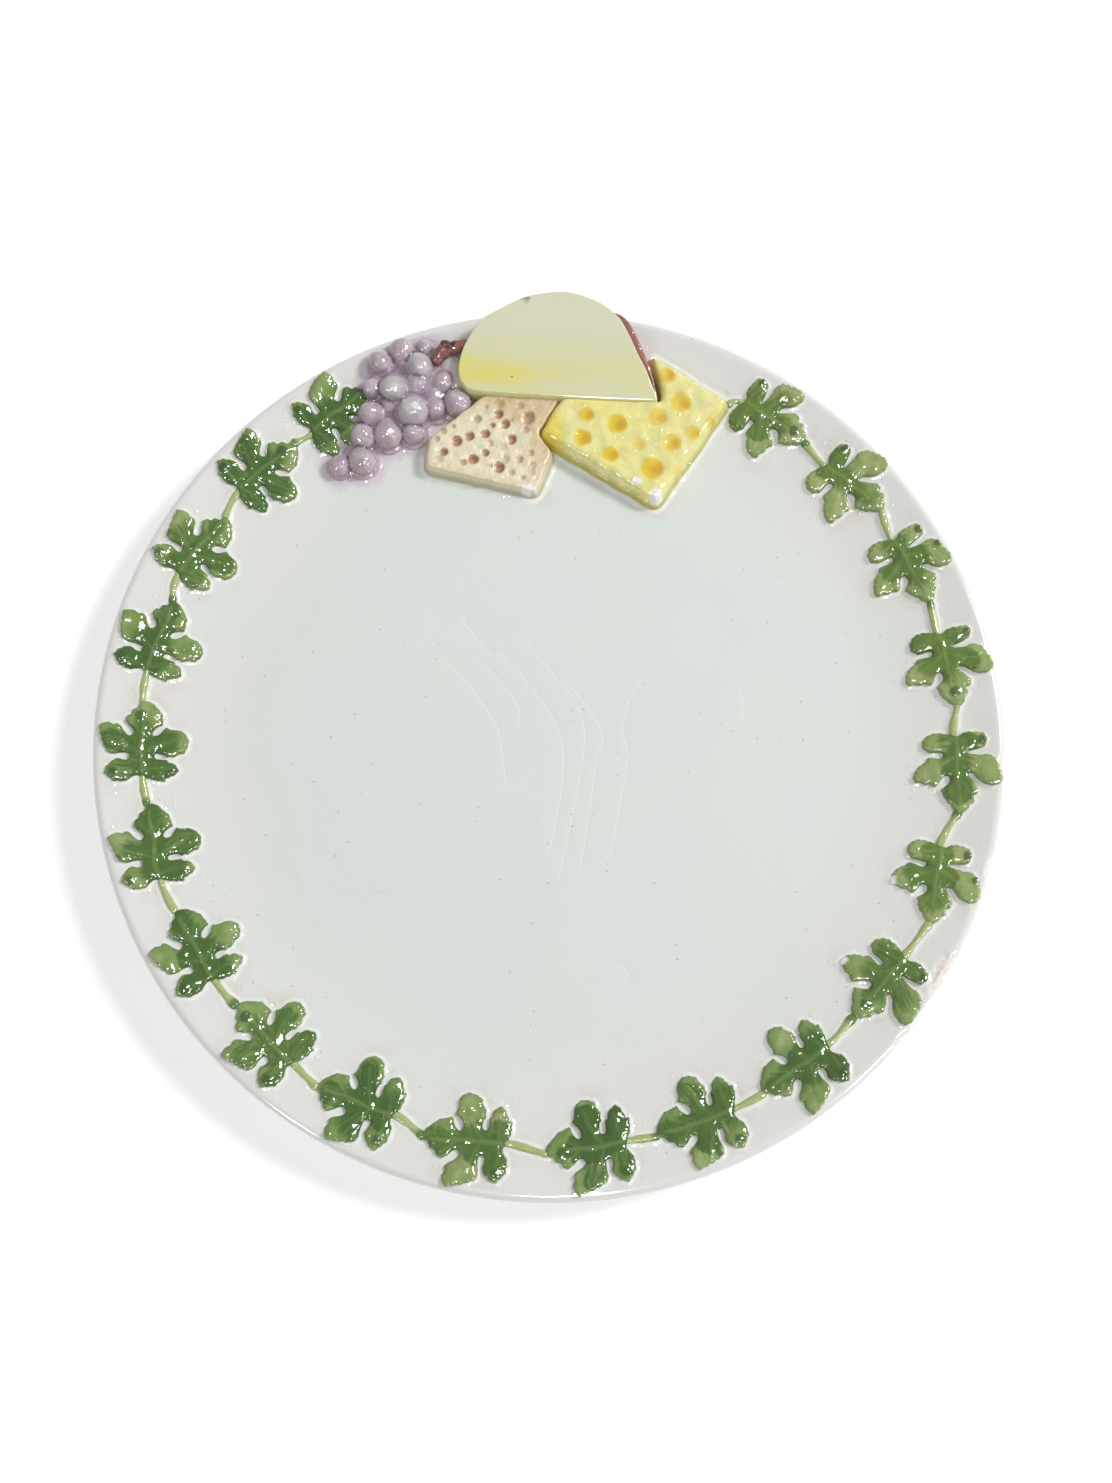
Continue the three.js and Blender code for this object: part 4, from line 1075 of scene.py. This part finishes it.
# %% Grape finish
grape_glaze, tree = new_finish("Grape glaze", 330.0, 0.0006, 0.05)
cover = slope(tree, mask(tree, "shaded"), 0.0, 1.0, 0.3, 0.85)
lilac = brush_on(tree, paint(199, 188, 189), paint(184, 163, 172), cover, 420.0, 0.45)
stipple = slope(tree, noise(tree, object_place(tree), 1100.0, 3.0), 0.5, 0.68, 0.0, 0.5)
lilac = mix(tree, stipple, lilac, paint(164, 134, 162))
# Greyer lilac on some berry tops, and painted light beside the half wheel
lilac = tint(tree, lilac, "grey_and_painted_light", (202, 200, 200), 0.7)
# Dark purple in the crevices: painted shade, partly purple glaze gathered there
lilac = tint(tree, lilac, "crevice", (112, 88, 122))
show_colour(tree, tint(tree, lilac, "worn", (228, 220, 226)))
fit_piece(grapes, grape_glaze, "grape_bunch")

# %% [markdown]
# ## The vine stalk
# A cut piece of vine, with a side shoot that goes behind the cheese. Both are swept rods with a knobbly
# width, joined in one mesh and melted together as the grapes were.

# %% Stalk
STALK_SIDES = 16
STALK_VOXEL = 0.0003
# Place from the bunch's own point, height over the dish, and radius
STALK = [(-8.6, 13, 3, 1.7), (-7.2, 15.2, 4.4, 2.1), (-5.6, 17.2, 5.3, 2.15), (-4.9, 18.2, 6.7, 2.1)]
SHOOT = [(-6, 15.6, 4.2, 1.9), (-3.2, 17.4, 4.7, 2.2), (0.5, 18.5, 4.7, 2.3), (3.5, 19, 4.5, 2.2)]
stalk_points, stalk_faces = [], []
for rod in (STALK, SHOOT):
    line = smooth_line(rod, 0.5)
    path = np.column_stack([line[:, :2] + BUNCH, dish_top(*(line[:, :2] + BUNCH).T) + line[:, 2]])
    knobs = line[:, 3] * (1 + 0.07 * np.sin(0.8 * np.arange(len(line))))
    rod_points, rod_faces = sweep(path, knobs, knobs, STALK_SIDES)
    stalk_faces += [tuple(i + sum(map(len, stalk_points)) for i in face) for face in rod_faces]
    stalk_points.append(rod_points)
rods = add_piece("rods", np.vstack(stalk_points), stalk_faces, {})
points, faces = melted(rods, STALK_VOXEL, 4)
end = BUNCH + STALK[-1][:2]
end = np.append(end, dish_top(*end) + STALK[-1][2])
axis = np.array([0.38, 0.43, 0.82])
cut = soft_step((points - end) @ axis, -0.5, -0.2) * (np.linalg.norm(points - end, axis=1) < 3)
stalk = add_piece("glazed_stalk", points, faces, {"cut": cut})
print("stalk:", len(points), "points")

# %% Stalk finish
stalk_glaze, tree = new_finish("Stalk glaze", 420.0, 0.0007, 0.04, 0.5)
cover = plus(tree, mask(tree, "cut"), 0.4)
show_colour(tree, brush_on(tree, paint(146, 90, 82), paint(74, 28, 28), cover, 420.0, 0.2))
fit_piece(stalk, stalk_glaze, "grape_stalk")

# %% [markdown]
# ## The dish
# The glaze runs up to every decoration and leaves a small fillet there, which catches the light. So the
# dish's upper face is a flat set of points, fine near the decorations and coarse elsewhere, joined into
# triangles and lifted to its height. The lip, the underside and the foot ring are rings of one turned
# profile.

# %% Dish points
from mathutils.kdtree import KDTree

RIM_EDGE = 146.4
COLUMNS = 960
# Lines that knives left in the well
SCRATCHES = [
    [(-37.1, 23.9), (-27.1, 13.5), (-19, 1.8), (-16.6, -5.6), (-14.8, -19.2)],
    [(-29.5, 35.5), (-23.6, 28.3), (-20.6, 25.5)],
    [(-18.2, 26.4), (-8.7, 16.5), (-1.2, 6.7), (3.3, -3.2), (4.1, -13), (2.8, -26.6), (-0.2, -41.9)],
    [(-23.8, 22.9), (-15.9, 14.3), (-11.4, 7.4), (-10.6, 1.3)],
    [(-9.9, 31.7), (-1.1, 20.7), (6.4, 11.8), (10.1, 3.9), (11, -4.9), (9.3, -18.7), (3.4, -49.4)],
    [(4.4, 16.8), (10.8, 9.4), (15.7, 2.1), (17.2, -3.8), (15.4, -9.3), (13.6, -22.5), (10.1, -48.3)],
    [(29.8, 17.9), (25.8, 10.3), (23.7, -0.7), (25.2, -5.6), (25, -13.4), (20.2, -41.5)],
    [(62.4, 15.1), (64.5, 10), (63, 4.5)],
    [(23.5, -77.2), (26, -80), (24.5, -84)],
]
CHIP_RADIUS = 149.0
# Angle in degrees, half length along the rim, and half width
CHIPS = [(-32.0, 8.0, 4.6), (-17.4, 4.2, 1.7), (-3.4, 3.4, 1.2), (4.5, 2.6, 1.0), (-41.7, 3.6, 1.2)]


def tree_of(points):
    """A search tree for the point nearest to a place in plan."""
    found = KDTree(len(points))
    for number, (x, y) in enumerate(points):
        found.insert((x, y, 0), number)
    found.balance()
    return found


def nearest_gap(search, points):
    """Distance of each point from the nearest point of a search tree."""
    return np.array([search.find((x, y, 0))[2] for x, y in points])


low_points = np.array([tuple(vertex.co) for vertex in grapes.data.vertices]) * 1000
low_points = low_points[np.abs(low_points[:, 2] - dish_top(*low_points[:, :2].T)) < 0.25][:, :2]
edges = [even_steps(np.vstack([loop, loop[:1]]), 0.3) for loop in outlines]
edge_tree = tree_of(np.vstack([*edges, low_points]))
grape_tree = tree_of(low_points)


def chip_mask(x, y):
    """1 where a chip has broken the glaze off the rim."""
    found = np.zeros(len(x))
    for angle, half, deep in CHIPS:
        out = np.array([math.cos(math.radians(angle)), math.sin(math.radians(angle))])
        middle = CHIP_RADIUS * out
        along = (y - middle[1]) * out[0] - (x - middle[0]) * out[1]
        radial = (x - middle[0]) * out[0] + (y - middle[1]) * out[1]
        away = np.hypot(along / half, radial / deep) + 0.12 * ripple(x, y, 2.6, 4)
        found = np.maximum(found, 1 - soft_step(away, 0.9, 1.02))
    return found


SCRATCH_WIDTH = 0.4
rows = [smooth_line(points, 0.9) for points in SCRATCHES]
sides = []
for row in rows:
    across = SCRATCH_WIDTH / 2 * sideways(row)
    sides += [row + across, row - across]
scratch_tree = tree_of(np.vstack(rows))
GRID_BOX = (-147, -147), (147, 147)
coarse = even_grid(*GRID_BOX, 2.3)
coarse = coarse[np.hypot(*coarse.T) < RIM_EDGE - 1.2]
fine = even_grid(*GRID_BOX, 0.62)
fine = fine[(np.hypot(*fine.T) < RIM_EDGE - 0.4) & (np.hypot(*fine.T) > 70)]
coarse = coarse[(nearest_gap(edge_tree, coarse) > 2.3) & (nearest_gap(scratch_tree, coarse) > 1.0)]
fine = fine[(nearest_gap(edge_tree, fine) < 2.0) | (chip_mask(*fine.T) > 0.01)]
turn = np.arange(COLUMNS) * 2 * np.pi / COLUMNS
circle = np.column_stack([np.cos(turn), np.sin(turn)])
flat = np.vstack([circle * RIM_EDGE, *rows, *sides, coarse, fine])
scratch = np.zeros(len(flat))
scratch[COLUMNS : COLUMNS + sum(map(len, rows))] = 1
made = delaunay_2d_cdt([Vector(p) for p in flat], [], [], 0, 1e-7)
faces = [tuple(face) for face in made[2]]
print("dish top:", len(flat), "points,", len(made[0]), "kept")

# %% Dish solid
x, y = flat.T
gap = nearest_gap(edge_tree, flat)
fillet = (0.5 + 0.28 * ripple(x, y, 5.5, 7)) * np.maximum(0, 1 - gap / 1.9) ** 2
height = dish_top(x, y) + fillet
height += 0.05 * ripple(x, y, 70, 2) * soft_step(RIM_EDGE - np.hypot(x, y), 0, 6)
chip = chip_mask(x, y)
height -= (0.35 + 0.15 * ripple(x, y, 2.0)) * chip + 0.03 * scratch
lilac = np.maximum(0, 1 - nearest_gap(grape_tree, flat) / 3.2)
LIP_RADIUS = 2.5
WALL = 6.5
lean = math.atan(2 * RIM_RISE * (RIM_EDGE - WELL_RADIUS) / RIM_RUN**2)
lip_x = RIM_EDGE + LIP_RADIUS * math.sin(lean)
lip_z = float(dish_top(RIM_EDGE, 0)) - LIP_RADIUS * math.cos(lean)
profile = []
for angle in np.linspace(math.pi / 2 + lean, -math.pi / 2 + lean, 15)[1:]:
    profile.append((lip_x + LIP_RADIUS * math.cos(angle), lip_z + LIP_RADIUS * math.sin(angle)))
for radius in (143, 137, 130, 122, 113, 105, 100):
    share = (radius - WELL_RADIUS) / RIM_RUN
    profile.append((radius, float(dish_top(radius, 0)) - WALL + 1.3 * share))
profile += [(95.2, 3), (94.2, 2.8), (93.2, 1.9), (92.3, 0.5), (91.6, 0.1), (90.8, 0)]
profile += [(85.2, 0), (84.4, 0.1)]
profile += [(83.7, 0.5), (82.8, 1.9), (81.8, 2.8), (80.8, 3), (60, 3)]
solid = [np.column_stack([flat, height])]
bare = [np.zeros(len(flat))]
upper = np.arange(COLUMNS)
total = len(flat)
for radius, level in profile:
    ring = np.column_stack([circle * radius, np.full(COLUMNS, level)])
    dent = chip_mask(ring[:, 0], ring[:, 1]) if level > 13 else np.zeros(COLUMNS)
    ring[:, :2] *= 1 - 0.4 * dent[:, None] / radius
    ring[:, 2] -= 0.3 * dent
    chip = np.concatenate([chip, dent])
    bare.append(np.full(COLUMNS, float(level < 0.2)))
    lower = np.arange(COLUMNS) + total
    join_rings(faces, upper, lower)
    solid.append(ring)
    upper = lower
    total += COLUMNS
faces.append(tuple(upper[::-1]))
more = total - len(flat)
masks = {
    "chip": chip,
    "bare": np.concatenate(bare),
    "scratch": np.concatenate([scratch, np.zeros(more)]),
    "lilac": np.concatenate([lilac, np.zeros(more)]),
    "beside": np.concatenate([np.maximum(0, 1 - gap / 6), np.zeros(more)]),
}
dish = add_piece("glazed_dish", np.vstack(solid), faces, masks)
print("dish:", total, "points")

# %% [markdown]
# The glaze is a cool white in the well and warmer on the rim. Lilac ran out round the grapes, knives left
# thin pale lines, and where the rim is chipped the biscuit clay shows. The foot ring is wiped bare for the
# kiln. Close beside the decorations the glaze is painted a brighter white, as a painted highlight on the
# fillets, partly thicker white glaze.

# %% Dish finish
white_glaze, tree = new_finish("White glaze", 28.0, 0.0006, 0.06)
glaze = tree.nodes["Glaze"]
pimples = slope(tree, mask(tree, "beside"), 0.0, 0.3, 0.0, 0.2)
tree.links.new(pimples, glaze.inputs["Pimples"])
place = object_place(tree)
inputs = {0: place, 1: (1.0, 1.0, 0.0)}
flat_place = add_node(tree, "ShaderNodeVectorMath", inputs, operation="MULTIPLY").outputs[0]
radius = add_node(tree, "ShaderNodeVectorMath", {0: flat_place}, operation="LENGTH").outputs["Value"]
cloud = slope(tree, noise(tree, place, 22.0, 3.0), 0.3, 0.7, -0.25, 0.25)
warmth = plus(tree, slope(tree, radius, 0.07, 0.15), cloud)
white = mix(tree, warmth, paint(219, 226, 221), paint(225, 225, 221))
blotch = slope(tree, noise(tree, place, 60.0, 2.0), 0.5, 0.68, 0.0, 0.5)
white = mix(tree, times(tree, blotch, mask(tree, "beside")), white, paint(214, 200, 184))
# Painted highlight: a bright white outline along the fillets beside the decorations, partly thicker glaze
white_fillet_highlight = slope(tree, mask(tree, "beside"), 0.72, 0.95, 0.0, 0.7)
white = mix(tree, white_fillet_highlight, white, paint(243, 245, 240))
white = tint(tree, white, "lilac", (186, 164, 190), 0.75)
white = mix(tree, times(tree, speckled(tree, 260.0, 0.08), 0.45), white, paint(120, 122, 116))
white = tint(tree, white, "scratch", (240, 240, 238), 0.8)
grain = slope(tree, noise(tree, place, 900.0, 3.0), 0.35, 0.65)
clay = mix(tree, grain, paint(214, 206, 195), paint(232, 228, 220))
broken = math_node(tree, "MAXIMUM", mask(tree, "chip"), mask(tree, "bare"))
show_colour(tree, mix(tree, broken, white, clay))
rough = math_node(tree, "MAXIMUM", broken, times(tree, mask(tree, "scratch"), 0.5))
roughened = math_node(tree, "MAXIMUM", glaze.outputs["Roughness"], times(tree, rough, 0.8))
tree.links.new(roughened, tree.nodes["Principled BSDF"].inputs["Roughness"])
fit_piece(dish, white_glaze, "plate_body")
print("finishes:", [material.name for material in bpy.data.materials])

# %% [markdown]
# ## Floor, light and camera
# The plate lies on a plain white floor. One soft light stands at the upper right, two weak ones and an
# even white sky fill the shadows, and four small panels, which are only seen in reflections, give the
# glints. The camera looks down at the plate from the front, as the photo was taken.

# %% Stage
bpy.ops.mesh.primitive_plane_add(size=8, location=(0, 0, -0.0002))
floor = bpy.context.object
floor.name = "floor"
floor_paint = bpy.data.materials.new("Floor")
floor_paint.use_nodes = True
floor_shader = floor_paint.node_tree.nodes["Principled BSDF"]
floor_shader.inputs["Base Color"].default_value = (0.8, 0.8, 0.8, 1)
floor_shader.inputs["Roughness"].default_value = 0.9
floor_shader.inputs["Emission Color"].default_value = (1, 1, 1, 1)
floor_shader.inputs["Emission Strength"].default_value = 0.32
floor.data.materials.append(floor_paint)
floor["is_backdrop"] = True


LIGHT_DISTANCE = 2.4


def soft_light(name, direction, power, size, glint=False):
    """A square light panel that faces the plate. A glint panel is only seen in reflections."""
    panel = bpy.data.lights.new(name, "AREA")
    panel.energy = power
    panel.size = size
    holder = bpy.data.objects.new(name, panel)
    away = Vector(direction).normalized()
    holder.location = away * LIGHT_DISTANCE
    holder.visible_diffuse = not glint
    holder.rotation_mode = "QUATERNION"
    holder.rotation_quaternion = away.to_track_quat("Z", "Y")
    bpy.context.scene.collection.objects.link(holder)


soft_light("key", (0.68, 0.3, 0.67), 33, 0.45)
soft_light("fill_front", (-0.52, -0.66, 0.53), 5, 0.2)
soft_light("fill_right", (0.88, -0.43, 0.2), 4, 0.2)
soft_light("glint_key", (0.62, 0.3, 0.72), 24, 0.24, True)
soft_light("glint_right", (0.6, -0.4, 0.68), 32, 0.26, True)
soft_light("glint_front", (0.05, -0.42, 0.9), 26, 0.23, True)
soft_light("glint_left", (-0.52, -0.66, 0.53), 14, 0.18, True)
sky = bpy.data.worlds.new("Sky")
sky.use_nodes = True
sky_shader = sky.node_tree.nodes["Background"].inputs
sky_shader["Color"].default_value = (1, 1, 1, 1)
sky_shader["Strength"].default_value = 0.55
bpy.context.scene.world = sky
print("lights:", len(bpy.data.lights))

# %% Camera
CAMERA_PLACE = (-0.00506, -0.10341, 0.4453)
CAMERA_RIGHT = (0.9996, 0.0193, 0.0195)
CAMERA_UP = (-0.0231, 0.9748, 0.2217)
camera = bpy.data.objects.new("camera", bpy.data.cameras.new("camera"))
camera.data.sensor_width = 36
camera.data.lens = 32.63
right = Vector(CAMERA_RIGHT)
back = right.cross(Vector(CAMERA_UP)).normalized()
up = back.cross(right).normalized()
turned = Matrix((right, up, back)).transposed().to_4x4()
camera.matrix_world = Matrix.Translation(CAMERA_PLACE) @ turned
camera.data.clip_start = 0.01
bpy.context.scene.collection.objects.link(camera)
bpy.context.scene.camera = camera
bpy.context.scene.view_settings.view_transform = "Standard"

# %% Measure and finish
low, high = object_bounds()
print("visual box in mm:", [round(1000 * value, 1) for value in (*low, *high)])
